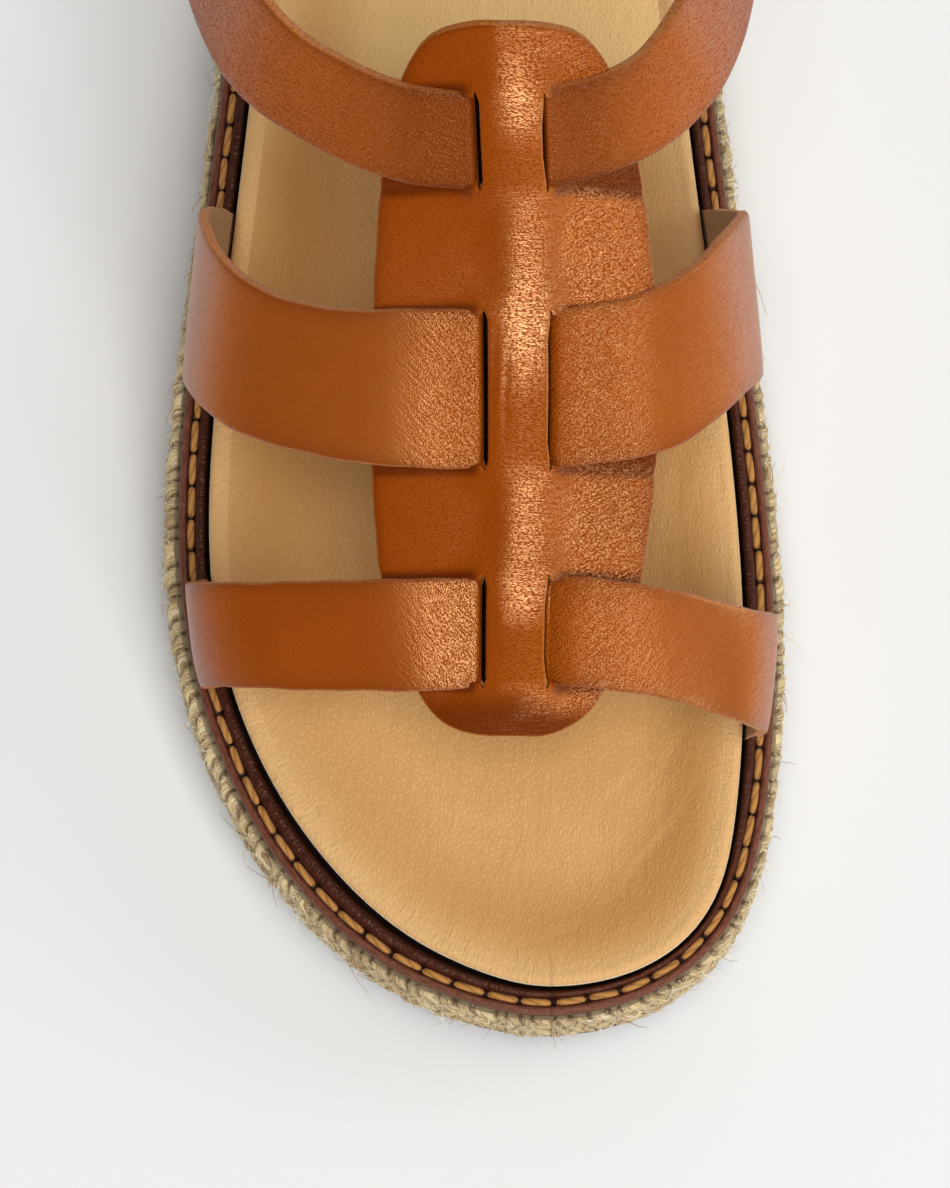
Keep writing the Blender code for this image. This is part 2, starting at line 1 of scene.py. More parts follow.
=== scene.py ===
"""Looks of a fisherman sandal for a right foot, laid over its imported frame.

The frame: toe towards -Y, the big toe's side towards +X, the floor at Z = 0. Lengths here are
millimetres, and MM makes them metres where a mesh is written.
"""

import math

import bpy
import numpy as np
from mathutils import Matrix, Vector


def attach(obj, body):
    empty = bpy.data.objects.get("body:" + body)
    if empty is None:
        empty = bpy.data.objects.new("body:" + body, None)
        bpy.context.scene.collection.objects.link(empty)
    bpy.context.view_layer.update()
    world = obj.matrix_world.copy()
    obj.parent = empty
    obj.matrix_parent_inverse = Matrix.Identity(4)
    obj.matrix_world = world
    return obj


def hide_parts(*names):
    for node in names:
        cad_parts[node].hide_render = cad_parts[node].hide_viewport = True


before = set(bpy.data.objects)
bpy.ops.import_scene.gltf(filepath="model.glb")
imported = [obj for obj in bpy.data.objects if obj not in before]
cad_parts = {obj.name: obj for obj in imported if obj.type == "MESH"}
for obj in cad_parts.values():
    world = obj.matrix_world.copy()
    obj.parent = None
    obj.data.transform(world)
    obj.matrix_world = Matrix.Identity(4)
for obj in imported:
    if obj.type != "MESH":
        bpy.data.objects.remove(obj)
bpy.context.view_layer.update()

# ---- outsole ----
# A sheet of brown rubber, cemented under the rope and trimmed to its outline. Its shape is the
# frame's own solid, and here it gets its finish: fine ribs, grit and lighter dusty patches.

MM = 0.001
RUBBER, RUBBER_DUST = (62, 40, 26), (104, 82, 62)
TREAD_PITCH = 3.2


def linear(color):
    """The linear colour of a 0 to 255 screen colour, with alpha."""
    share = np.array(color) / 255
    value = np.where(share <= 0.04045, share / 12.92, ((share + 0.055) / 1.055) ** 2.4)
    return (*value.tolist(), 1.0)


class Nodes:
    """A tree of nodes. A plain value is set on a socket, and an output is linked to it."""

    def __init__(self, tree):
        self.tree = tree

    def set(self, node, inputs):
        """Sets or links the inputs, which are sockets' names or numbers and what goes in."""
        for socket, value in dict(inputs).items():
            if isinstance(value, bpy.types.NodeSocket):
                self.tree.links.new(value, node.inputs[socket])
            else:
                node.inputs[socket].default_value = value

    def add(self, kind, inputs=(), output=0, **properties):
        """The given output of a new node."""
        node = self.tree.nodes.new("ShaderNode" + kind)
        for name, value in properties.items():
            setattr(node, name, value)
        self.set(node, inputs)
        return node.outputs[output]

    def math(self, operation, *values, clamp=False):
        return self.add("Math", enumerate(values), operation=operation, use_clamp=clamp)

    def times(self, first, second, clamp=False):
        return self.math("MULTIPLY", first, second, clamp=clamp)

    def spread(self, value, low, high, start=0.0, end=1.0):
        """The value moved from the range low..high to start..end, and held there."""
        return self.add("MapRange", {0: value, 1: low, 2: high, 3: start, 4: end})

    def between(self, share, first, second):
        """The number that lies a share of the way from the first to the second."""
        return self.add("Mix", {0: share, 2: first, 3: second}, 0)


class Finish(Nodes):
    """A principled material and the patterns it is made from."""

    def __init__(self, name, color, roughness, **sockets):
        self.material = bpy.data.materials.new(name)
        self.material.use_nodes = True
        self.material.diffuse_color = linear(color)
        super().__init__(self.material.node_tree)
        self.shader = self.tree.nodes["Principled BSDF"]
        self.finish(Base_Color=linear(color), Roughness=roughness, **sockets)

    def mixed(self, share, first, second, blend="MIX"):
        """A share of the way from the first to the second; by ADD, the first and a share of the second."""
        return self.add("Mix", {0: share, 6: first, 7: second}, 2, data_type="RGBA", blend_type=blend)

    def tinted(self, color, share, tint):
        """The colour with a share of a screen colour laid over it."""
        return self.mixed(share, color, linear(tint))

    def attribute(self, name):
        return self.add("Attribute", output=2, attribute_name=name)

    def place(self):
        """Where a point lies on the object, in metres."""
        return self.add("TexCoord", output=3)

    def spot(self):
        """Where a point lies on the unrolled piece, in millimetres."""
        return self.add("UVMap", uv_map="grain")

    def turned(self, vector, angle=0.0, scale=(1.0, 1.0, 1.0)):
        """The vector scaled and then turned about Z by an angle in degrees."""
        return self.add("Mapping", {0: vector, 2: (0.0, 0.0, math.radians(angle)), 3: scale})

    def bent(self, vector, amount, scale):
        """The vector pushed about by a noise, so that a pattern on it isn't regular."""
        push = self.add("TexNoise", {"Vector": vector, "Scale": scale}, 1)
        return self.mixed(amount, vector, push, "ADD")

    def noise(self, vector, scale, detail=2.0, roughness=0.5):
        inputs = {"Vector": vector, "Scale": scale, "Detail": detail, "Roughness": roughness}
        return self.add("TexNoise", inputs)

    def cells(self, vector, scale, feature="F1", inputs=(), **properties):
        inputs = {"Vector": vector, "Scale": scale, **dict(inputs)}
        return self.add("TexVoronoi", inputs, feature=feature, **properties)

    def bump(self, height, distance, strength=1.0, before=None):
        """The normal over a relief of that height, laid on the relief before it."""
        inputs = {"Height": height, "Distance": distance, "Strength": strength}
        if before is not None:
            inputs["Normal"] = before
        return self.add("Bump", inputs)

    def finish(self, **sockets):
        """Sets the shader's sockets, named with _ for a space, and gives back the material."""
        self.set(self.shader, {name.replace("_", " "): value for name, value in sockets.items()})
        return self.material


rubber = Finish("outsole_rubber", RUBBER, 0.75, Specular_IOR_Level=0.35)
rib_inputs = {"Vector": rubber.place(), "Scale": 1 / (TREAD_PITCH * MM * math.tau), "Distortion": 0.6}
ribs = rubber.add("TexWave", rib_inputs, bands_direction="Y")
grit = rubber.noise(rubber.place(), 1500.0, 3.0)
dust = rubber.spread(rubber.noise(rubber.place(), 45.0, 5.0, 0.65), 0.45, 0.75, 0.0, 0.5)
rubber_color = rubber.tinted(linear(RUBBER), dust, RUBBER_DUST)
rubber_bump = rubber.bump(grit, 0.00012, 0.6, rubber.bump(ribs, 0.0004, 0.5))
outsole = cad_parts["outsole"]
outsole.data.materials.clear()
outsole.data.materials.append(rubber.finish(Base_Color=rubber_color, Normal=rubber_bump))

# ---- rope midsole ----
# Three rows of braided jute laid round the sole, pressed and glued. Each row is a half-round, and
# its strands slant one way above its middle and the other way below.

FOOTBED_TOE, FOOTBED_HEEL = -124.4, 123.6
FOOTBED_EDGE = (
    # angle from the toe, little-toe side x, big-toe side x
    (0, 12.6, 12.6),
    (10, 2.4, 24.0),
    (20, -9.4, 33.6),
    (30, -20.4, 39.7),
    (40, -30.1, 42.4),
    (60, -42.5, 43.8),
    (80, -42.3, 40.6),
    (100, -37.6, 35.2),
    (120, -33.9, 32.3),
    (140, -31.4, 29.5),
    (160, -20.3, 18.0),
    (180, -1.2, -1.2),
)
SOLE_HEIGHTS = (
    # y, underside, midsole top
    (-131, 5.0, 22.6),
    (-112, 2.2, 21.1),
    (-92, 0.5, 20.2),
    (-76, 0.0, 20.0),
    (-40, 0.0, 20.0),
    (0, 0.0, 21.5),
    (40, 0.0, 24.3),
    (80, 0.0, 26.0),
    (131, 0.0, 26.4),
)
FLAT_FROM = -76
TRENCH = (
    # angle, width of the dark gap between footbed and welt
    (0, 1.0),
    (12, 0.6),
    (25, 0.55),
    (38, 1.2),
    (48, 1.7),
    (70, 1.7),
    (180, 1.7),
    (290, 1.7),
    (310, 2.0),
    (325, 2.6),
    (340, 2.2),
    (352, 1.4),
)
SOLE_MIDDLE = ((-80, 6.0), (0, -1.0), (80, -1.2))  # y, x of the line that its rings shrink to
MIDDLE_SHARE = 0.62  # how long that line is, as a share of the ring
OUTSOLE_THICKNESS = 4.5
GAP = 0.3
ROPE_ROWS = 3
ROPE_INNER, ROPE_OUTER = 3.35, 5.1
ROPE_FULLNESS = (
    # angle, how much further out the rope swells
    (0, -0.3),
    (12, -0.35),
    (26, -0.5),
    (36, -0.4),
    (48, -0.1),
    (62, 0.0),
    (180, 0.0),
    (275, 0.2),
    (300, 0.9),
    (315, 0.5),
    (330, 0.1),
    (345, -0.2),
)
ROW_SQUARENESS, TOP_SQUARENESS = 2.0, 3.6
STRAND_PITCH, STRAND_SLANT, STRAND_DEPTH, STRAND_BLUNTNESS = 2.9, 0.62, 1.25, 0.55
SEAM_DEPTH, SEAM_HALF = 0.55, 0.07  # the seam along a row's middle
ROPE_DROP = 0.035  # how far the top row sinks between its strands
ROPE_UNDERCUT, DECK_REACH = 1.2, 4.2  # how far in the rope's bottom and its deck under the footbed start
MIDDLE_RING = 0.1  # the share of its size at which a ring round the middle is closed across
JUTE, JUTE_DARK, JUTE_PALE, JUTE_SHADE = (252, 226, 172), (150, 108, 60), (255, 246, 218), (92, 60, 30)
DECK_SHADE = (26, 13, 8)


def open_spline(knots, values, at):
    """The natural cubic through (knots, values), read at 'at'; past the ends it runs on straight."""
    knots = np.asarray(knots, float)
    values = np.asarray(values, float)
    step = np.diff(knots)
    slope = np.diff(values) / step
    count = len(knots)
    matrix = np.eye(count)
    right = np.zeros(count)
    for i in range(1, count - 1):
        matrix[i, i - 1 : i + 2] = step[i - 1], 2 * (step[i - 1] + step[i]), step[i]
        right[i] = 6 * (slope[i] - slope[i - 1])
    bend = np.linalg.solve(matrix, right)
    at = np.asarray(at, float)
    inside = np.clip(at, knots[0], knots[-1])
    i = np.clip(np.searchsorted(knots, inside, "right") - 1, 0, count - 2)
    left, rest = inside - knots[i], knots[i + 1] - inside
    curve = (bend[i] * rest**3 + bend[i + 1] * left**3) / (6 * step[i])
    curve += (values[i] / step[i] - bend[i] * step[i] / 6) * rest
    curve += (values[i + 1] / step[i] - bend[i + 1] * step[i] / 6) * left
    before = slope[0] - step[0] * bend[1] / 6
    after = slope[-1] + step[-1] * bend[-2] / 6
    return curve + (at - inside) * np.where(at < knots[0], before, after)


def closed_spline(knots, values, at, period=360.0):
    """A cubic through values that repeat every period, from three turns of them laid end to end."""
    knots = np.asarray(knots, float)
    turns = np.concatenate([knots - period, knots, knots + period])
    return open_spline(turns, np.tile(values, 3), np.mod(at, period))


def column(table, index):
    """One column of a table of rows."""
    return [row[index] for row in table]


def read_along(table, index, at):
    """The smooth curve through a column of the table, read at places in its first column."""
    return open_spline(column(table, 0), column(table, index), at)


def read_round(table, index, angle):
    """The same for a table whose first column is an angle that runs all the way round."""
    return closed_spline(column(table, 0), column(table, index), angle)


def smooth_step(value, start, end):
    """0 up to the start and 1 from the end, with a cubic between them that is level at both ends."""
    t = np.clip((value - start) / (end - start), 0.0, 1.0)
    return t * t * (3 - 2 * t)


def bell(value, middle, width):
    """1 at the middle, falling as a Gaussian to 1/e a width away."""
    return np.exp(-(((value - middle) / width) ** 2))


def running_length(line):
    """The length along a line of points, from 0 at its first point."""
    return np.concatenate([[0], np.cumsum(np.linalg.norm(np.diff(line, axis=0), axis=-1))])


def raised(flat, height):
    """Points in plan with their heights added as z."""
    return np.concatenate([flat, height[..., None]], -1)


def footbed_edge(angle):
    """(x, y) of the footbed's edge; angle 0 is the toe, 90 the big-toe side and 180 the heel."""
    rows = FOOTBED_EDGE
    knots = column(rows, 0) + [360 - row[0] for row in reversed(rows[1:-1])]
    widths = column(rows, 2) + [row[1] for row in reversed(rows[1:-1])]
    x = closed_spline(knots, widths, angle)
    y = FOOTBED_TOE + (FOOTBED_HEEL - FOOTBED_TOE) * (1 - np.cos(np.radians(angle))) / 2
    return np.stack([x, y], -1)


def edge_normal(angle):
    """The unit normal of the footbed's edge in plan, pointing outwards."""
    along = footbed_edge(angle + 0.5) - footbed_edge(angle - 0.5)
    along /= np.linalg.norm(along, axis=-1, keepdims=True)
    return np.stack([along[..., 1], -along[..., 0]], -1)


def outline(outwards, angle):
    """The footbed's edge moved outwards, square to itself."""
    angle = np.asarray(angle, float)
    return footbed_edge(angle) + np.expand_dims(outwards, -1) * edge_normal(angle)


def sole_outline(outwards, angle):
    """The line where the welt's inner wall stands, moved outwards."""
    return outline(read_round(TRENCH, 1, angle) + outwards, angle)


def even_angles(outwards, count):
    """Outline angles that are evenly spaced by length along the sole's outline, and that length."""
    turn = np.linspace(0, 360, 3601)
    length = running_length(sole_outline(outwards, turn))
    places = np.arange(count) * length[-1] / count
    return np.interp(places, length, turn), places, length[-1]


def underside(y):
    """Height of the outsole's underside at y: flat on the floor, then turned up under the toes."""
    return np.where(y > FLAT_FROM, 0.0, np.maximum(read_along(SOLE_HEIGHTS, 1, y), 0.0))


def midsole_top(y):
    """Height of the midsole's top at y, a cubic through the table's last column."""
    return read_along(SOLE_HEIGHTS, 2, y)


def middle_line(points):
    """Where each point of a ring goes as the ring shrinks to a short line along the sole's middle."""
    y = points[..., 1] * MIDDLE_SHARE
    return np.stack([read_along(SOLE_MIDDLE, 1, y), y], -1)


def shrunk(points, share):
    """A ring's points moved in straight lines towards the sole's middle, until a share is left."""
    share = np.expand_dims(share, -1)
    return middle_line(points) * (1 - share) + points * share


def wandering(at, seed, wavelengths, period):
    """A smooth repeatable curve between about -1 and 1: sines whose waves fit the period."""
    rng = np.random.default_rng(seed)
    total = np.zeros(np.shape(at))
    for wavelength in wavelengths:
        waves = max(1, round(period / wavelength))
        total += np.sin(2 * np.pi * (waves * np.asarray(at) / period + rng.random()))
    return total / math.sqrt(len(wavelengths))


def grid_faces(rows, columns, close_rows=False, close_columns=False):
    """Quads between neighbours of a grid of points numbered row by row."""
    i = np.arange(rows if close_rows else rows - 1)[:, None]
    j = np.arange(columns if close_columns else columns - 1)[None, :]
    ahead, aside = (i + 1) % rows * columns, (j + 1) % columns
    corners = np.broadcast_arrays(i * columns + j, i * columns + aside, ahead + aside, ahead + j)
    return np.stack(corners, -1).reshape(-1, 4)


def across_faces(base, count):
    """Faces that close a ring by joining each point to the one facing it."""
    half = count // 2
    faces = [[base, base + 1, base + count - 1]]
    faces += [[base + i, base + i + 1, base + count - i - 1, base + count - i] for i in range(1, half - 1)]
    return faces + [[base + half - 1, base + half, base + half + 1]]


def stacked_faces(rings, steps):
    """Faces of a solid made of rings on each other, closed across at its bottom and its top."""
    sides = grid_faces(rings, steps, close_columns=True).tolist()
    return sides + across_faces(0, steps) + across_faces((rings - 1) * steps, steps)


def make_piece(name, points, faces, material, values=None, uv=None, replaced=None):
    """values holds one number for each point under each attribute's name, and uv one pair.
    """
    points = np.asarray(points, float).reshape(-1, 3)
    faces = faces if isinstance(faces, list) else faces.tolist()
    fans = np.array([[face[0], face[k], face[k + 1]] for face in faces for k in range(1, len(face) - 1)])
    a, b, c = (points[fans[:, k]] for k in range(3))
    if np.einsum("ij,ij->", a, np.cross(b, c)) < 0:
        faces = [face[::-1] for face in faces]
    mesh = bpy.data.meshes.new(name)
    mesh.from_pydata((points * MM).tolist(), [], faces)
    for key, numbers in (values or {}).items():
        layer = mesh.attributes.new(key, "FLOAT", "POINT")
        layer.data.foreach_set("value", np.ascontiguousarray(numbers, np.float32).ravel())
    if uv is not None:
        corners = np.empty(len(mesh.loops), np.int32)
        mesh.loops.foreach_get("vertex_index", corners)
        pairs = np.asarray(uv, np.float32).reshape(-1, 2)[corners]
        mesh.uv_layers.new(name="grain").uv.foreach_set("vector", pairs.ravel())
    mesh.materials.append(material)
    mesh.shade_smooth()
    piece = bpy.data.objects.new(name, mesh)
    bpy.context.scene.collection.objects.link(piece)
    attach(piece, "root")
    if replaced:
        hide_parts(replaced)
    return piece


def rope_surface(place, rise, angle, length):
    """How far out the rope stands and the depth between its strands, at a length and a rise 0 to 1.

    Each row swells as a half-ellipse, squarer at the very top, under the welt. A strand's crest is
    a root of a cosine of the length along the row, sheared up one way above the row's middle and
    the other way below it. Each strand is a little fuller or thinner than the last.
    """
    row = np.minimum(np.floor(rise * ROPE_ROWS), ROPE_ROWS - 1)
    part = rise * ROPE_ROWS - row
    upper = part > 0.5
    power = np.where((row == ROPE_ROWS - 1) & upper, TOP_SQUARENESS, ROW_SQUARENESS)
    swell = np.maximum(1 - np.abs(2 * part - 1) ** power, 0) ** (1 / power)
    drift = 0.3 * wandering(place, 5, (5, 9, 14, 23, 41), length) + 0.37 * row
    lean = np.where(upper, part - 0.5, 0.5 - part) * 2 * STRAND_SLANT
    phase = place / length * round(length / STRAND_PITCH) + drift + lean + np.where(upper, 0.0, 0.5)
    strand = np.abs(np.cos(np.pi * phase)) ** STRAND_BLUNTNESS
    number = np.floor(phase + 0.5)
    uneven = 0.5 + 0.5 * np.sin(7.3 * number + 2.1 * row + 1.7 * np.sin(2.3 * number))
    hollow = np.clip(1 - strand + SEAM_DEPTH * bell(part, 0.5, SEAM_HALF), 0, 1)
    out = ROPE_INNER + (ROPE_OUTER - ROPE_INNER) * swell**0.8
    out = out + swell * read_round(ROPE_FULLNESS, 1, angle)
    out = out + swell * (0.25 * uneven + 0.12 * wandering(place, 11, (6, 19, 60), length))
    return out - STRAND_DEPTH * hollow * (0.35 + 0.65 * swell), hollow, phase, uneven, row, part


rope_steps, rope_levels = 1560, 36
rise = np.append((np.arange(rope_levels) + 0.5) / rope_levels, [0.991, 0.995, 0.998, 0.9995])
rope_angle, rope_place, rope_length = even_angles(ROPE_OUTER, rope_steps)
rope_out, rope_hollow, rope_phase, rope_uneven, rope_row, rope_part = rope_surface(
    rope_place[:, None], rise[None, :], rope_angle[:, None], rope_length
)


def rope_ring(outwards, rise, share):
    """A ring round the sole, at a rise from 0 at the outsole to 1 at the midsole's top."""
    flat = shrunk(sole_outline(outwards, rope_angle), share)
    low = underside(flat[:, 1]) + OUTSOLE_THICKNESS + GAP
    return raised(flat, low + (midsole_top(flat[:, 1]) - low) * rise)


rope_rise = rise[None, :] - ROPE_DROP * rope_hollow * smooth_step(rise, 0.94, 0.995)[None, :]
bottom_rings = [rope_ring(ROPE_INNER - ROPE_UNDERCUT, 0.0, share) for share in (MIDDLE_RING, 1.0)]
side_rings = [rope_ring(rope_out[:, k], rope_rise[:, k], 1.0) for k in range(len(rise))]
deck_steps = ((0.2, 1.0), (0.3, 1.0), (DECK_REACH, 1.0), (DECK_REACH, MIDDLE_RING))
deck_rings = [rope_ring(ROPE_INNER - inwards, 0.99, share) for inwards, share in deck_steps]
rope_points = np.stack(bottom_rings + side_rings + deck_rings, 0)
before, after, count = len(bottom_rings), len(deck_rings), len(rope_points)


def with_ends(grid):
    """Values of the side's rings, with rows of zeros for the rings below and above."""
    return np.pad(grid.T, ((before, after), (0, 0)))


slanted = np.where(rope_part > 0.5, 1.0, -1.0)
along = rope_place[:, None] * 0.8 + slanted * rope_part * 5.0 + 31 * rope_row
rope_uv = np.stack([with_ends(along), with_ends(rope_phase * STRAND_PITCH)], -1)
# The hollows between strands are painted darker, a painted shade, and the rope just below the welt's lip gets
# a painted shadow of the lip.
rope_shade = with_ends(rope_hollow)
rope_shade[count - after] = rope_hollow[:, -1]
lip_shadow = np.exp(-np.maximum(rope_out.T - ROPE_INNER - 0.35, 0) / 0.3) * (rise > 0.85)[:, None]
rope_shade[before : count - after] += lip_shadow * (0.05 + 0.5 * rope_uneven.T)
# The deck, the rope's top under the footbed, is painted near black: a painted shade for the trench between
# welt and footbed.
on_deck = np.repeat(np.arange(count) > count - after, rope_steps)

jute = Finish("braided_jute", JUTE, 0.85, Specular_IOR_Level=0.25, Sheen_Weight=0.1, Sheen_Roughness=0.4)
fibre = jute.noise(jute.turned(jute.spot(), scale=(0.35, 1.9, 1.0)), 1.6, 4.0, 0.7)
fleck = jute.noise(jute.turned(jute.spot(), scale=(0.5, 1.6, 1.0)), 0.9, 3.0, 0.65)
blotch = jute.noise(jute.place(), 70.0, 3.0)
jute_color = jute.mixed(jute.spread(fibre, 0.36, 0.54), linear(JUTE_DARK), linear(JUTE))
for share, tint in (
    (jute.spread(fleck, 0.56, 0.7, 0.0, 0.9), JUTE_PALE),
    (jute.spread(blotch, 0.5, 0.75, 0.0, 0.35), JUTE_DARK),
    # painted shade in the hollows between strands and under the lip
    (jute.spread(jute.attribute("hollow"), 0.2, 0.8, 0.0, 0.85), JUTE_SHADE),
    (jute.attribute("deck"), DECK_SHADE),
):
    jute_color = jute.tinted(jute_color, share, tint)
jute_bump = jute.bump(fibre, 0.0006, 1.0, jute.bump(jute.noise(jute.place(), 700.0, 4.0, 0.7), 0.0006, 0.8))
make_piece(
    "rope_midsole",
    rope_points,
    stacked_faces(count, rope_steps),
    jute.finish(Base_Color=jute_color, Normal=jute_bump),
    {"hollow": rope_shade, "deck": on_deck},
    rope_uv,
    "midsole",
)

# ---- jute hairs ----
# Loose ends of fibre, bent and curled, that stand out of the rope, as on any braided jute sole.

HAIR_COUNT = 5000
HAIR_RADIUS = 0.06
HAIR_SHORTEST, HAIR_LONGER = 0.9, 3.4
HAIR_RINGS, HAIR_SIDES = 6, 3
HAIR_BROWN = (176, 132, 82)


def tube_faces(tubes, rings, sides):
    """Faces of many tubes, each numbered ring by ring and closed at both ends."""
    starts = np.arange(tubes)[:, None] * rings * sides
    around = np.arange(sides)[None]
    faces = (grid_faces(rings, sides, close_columns=True)[None] + starts[..., None]).reshape(-1, 4)
    first, last = starts + around[:, ::-1], starts + (rings - 1) * sides + around
    return faces.tolist() + first.tolist() + last.tolist()


def unit(vectors):
    """Each vector divided by its length."""
    return vectors / np.maximum(np.linalg.norm(vectors, axis=-1, keepdims=True), 1e-9)


def bent_tubes(paths, radius, sides):
    """Points of thin tubes round many paths at once, each ring square to its path."""
    along = unit(np.gradient(paths, axis=1))
    aside = unit(np.cross(along, np.array([0.31, 0.17, 0.93])))
    over = np.cross(along, aside)
    turn = 2 * np.pi * np.arange(sides) / sides
    ring = np.cos(turn)[:, None] * aside[:, :, None] + np.sin(turn)[:, None] * over[:, :, None]
    return paths[:, :, None] + np.reshape(radius, (-1, paths.shape[1], 1, 1)) * ring


rng = np.random.default_rng(21)
hair_place = rng.random(HAIR_COUNT) * rope_length
hair_rise = 1 - rng.random(HAIR_COUNT) ** 1.5 * 0.98
hair_angle = np.interp(hair_place, rope_place, rope_angle)
hair_out = rope_surface(hair_place, hair_rise, hair_angle, rope_length)[0]
root_plan = sole_outline(hair_out - 0.15, hair_angle)
low = underside(root_plan[:, 1]) + OUTSOLE_THICKNESS + GAP
roots = raised(root_plan, low + (midsole_top(root_plan[:, 1]) - low) * hair_rise)
out_plan = edge_normal(hair_angle)
outward = np.column_stack([out_plan, np.zeros(HAIR_COUNT)])
sideways = np.column_stack([-out_plan[:, 1], out_plan[:, 0], np.zeros(HAIR_COUNT)])
upward = np.array([0.0, 0.0, 1.0])
each_hair = (HAIR_COUNT, 1)
lengths = HAIR_SHORTEST + HAIR_LONGER * rng.random(HAIR_COUNT) ** 7
aim = unit(
    outward * (0.35 + rng.random(each_hair))
    + sideways * rng.normal(0, 1.0, each_hair)
    + upward * rng.normal(0.1, 0.45, each_hair)
)
curl = sideways * rng.normal(0, 0.7, each_hair) + upward * rng.normal(-0.2, 0.4, each_hair)
curl -= outward * (0.5 * rng.random(each_hair))
t = np.linspace(0, 1, HAIR_RINGS)[None, :, None]
waves = t * (1 + 2 * rng.random((*each_hair, 1))) + rng.random((*each_hair, 1))
wave = 0.05 * np.sin(2 * np.pi * waves)
bend = t * aim[:, None] + t**2 * curl[:, None] + wave * sideways[:, None] * t
hairs = roots[:, None] + lengths[:, None, None] * bend
hairs[..., 2] = np.maximum(hairs[..., 2], 0.5)
hair_radius = HAIR_RADIUS * (1.25 - 0.75 * t[..., 0]) * (0.6 + 0.8 * rng.random(each_hair))
hair_points = bent_tubes(hairs, hair_radius, HAIR_SIDES)
hair_tone = np.broadcast_to(rng.random((*each_hair, 1)), hair_points.shape[:3])

hair = Finish("jute_hair", JUTE, 0.7, Specular_IOR_Level=0.3)
hair_share = hair.spread(hair.attribute("tone"), 0.05, 0.5)
hair_material = hair.finish(Base_Color=hair.mixed(hair_share, linear(HAIR_BROWN), linear(JUTE_PALE)))
hair_faces = tube_faces(HAIR_COUNT, HAIR_RINGS, HAIR_SIDES)
make_piece("jute_hairs", hair_points, hair_faces, hair_material, {"tone": hair_tone})

# ---- welt and its stitches ----
# A strip of dark red-brown leather round the top of the rope: a bead inside, a bed for the stitches
# and a rounded lip. A mustard lockstitch of twisted thread fastens it through to the outsole.

WELT_PROFILE = (
    # outwards, height
    (0.0, 0.0),
    (0.0, 1.4),
    (0.0, 2.6),
    (0.07, 3.0),
    (0.22, 3.26),
    (0.44, 3.34),
    (0.64, 3.24),
    (0.78, 2.98),
    (0.84, 2.6),
    (0.88, 2.12),
    (1.0, 1.98),
    (1.35, 2.0),
    (1.72, 1.98),
    (1.84, 1.84),
    (1.93, 2.04),
    (2.02, 2.34),
    (2.22, 2.52),
    (2.6, 2.56),
    (2.98, 2.46),
    (3.24, 2.2),
    (3.36, 1.8),
    (3.36, 1.0),
    (3.3, 0.3),
    (3.1, 0.0),
    (1.6, 0.0),
)
BEAD_POINTS = 9  # how many of those points are the bead inside the bed
BED_OUT, BED_HEIGHT = 1.34, 2.0
STITCH_PITCH, STITCH_LENGTH, STITCH_WIDTH = 5.55, 5.1, 1.2
STITCH_RINGS, STITCH_SIDES, STITCH_FLATNESS = 8, 8, 0.62
HOLE_DEPTH, HOLE_HALF = 0.75, 0.5
RIPPLE = 0.05
WELT, WELT_WORN, WELT_EDGE, WELT_SHADE = (70, 26, 14), (98, 44, 27), (126, 76, 56), (22, 7, 3)
THREAD, THREAD_SHADE, THREAD_PALE = (196, 134, 58), (128, 74, 22), (222, 168, 92)


def profile_columns(table):
    """A profile's two columns as arrays."""
    return (np.array(column(table, index), float) for index in (0, 1))


welt_steps = 1320
welt_angle, welt_place, welt_length = even_angles(BED_OUT, welt_steps)
stitch_count = round(welt_length / STITCH_PITCH)
pitch = welt_length / stitch_count
welt_out, welt_height = profile_columns(WELT_PROFILE)
from_hole = np.abs(np.mod(welt_place / pitch + 0.5, 1.0) - 0.5) * pitch
above_bed = welt_height > 1.5
sunk = HOLE_DEPTH * bell(from_hole, 0, HOLE_HALF)[:, None] * (bell(welt_out, BED_OUT, 0.5) * above_bed)
ripple = RIPPLE * wandering(welt_place, 3, (5, 8, 13, 31), welt_length)[:, None] * (welt_height > 0.5)
spread_in = np.maximum(0.88 * read_round(TRENCH, 1, welt_angle) - 0.3, 0)
welt_lines = [sole_outline(out - spread_in * max(1 - out, 0), welt_angle) for out in welt_out]
welt_flat = np.stack(welt_lines, 1)
welt_z = midsole_top(welt_flat[..., 1]) + GAP + welt_height - sunk + ripple
profile_length = running_length(np.stack([welt_out, welt_height], 1))
welt_uv = np.stack(np.broadcast_arrays(welt_place[:, None], profile_length[None, :]), -1)
# Painted shade: the bead's inner half beside the trench, the stitch bed and the stitch holes are painted near
# black.
inside = np.interp(welt_out, (0.0, 0.2, 0.5, 0.7), (1.0, 0.8, 0.3, 0.0))
inside = (inside * (np.arange(len(welt_out)) < BEAD_POINTS))[None, :] * np.clip(spread_in, 0, 1)[:, None]
lip = smooth_step(welt_out, 1.9, 2.6) * smooth_step(welt_height, 0.2, 2.3)
in_bed = bell(welt_out, BED_OUT, 0.7) * above_bed

welt = Finish("welt_leather", WELT, 0.5, Specular_IOR_Level=0.4, Specular_Tint=(1.0, 0.62, 0.46, 1.0))
welt_pebble = welt.cells(welt.place(), 1700.0)
welt_long = welt.noise(welt.turned(welt.spot(), scale=(0.5, 2.6, 1.0)), 1.0, 4.0, 0.6)
# The lip is lighter in streaks: its own edge colour with a painted sheen laid into it.
lip_tone_and_sheen = welt.times(welt.attribute("lip"), welt.spread(welt_long, 0.3, 0.65, 0.15, 0.95))
welt_color = welt.tinted(linear(WELT), welt.spread(welt_long, 0.35, 0.7), WELT_WORN)
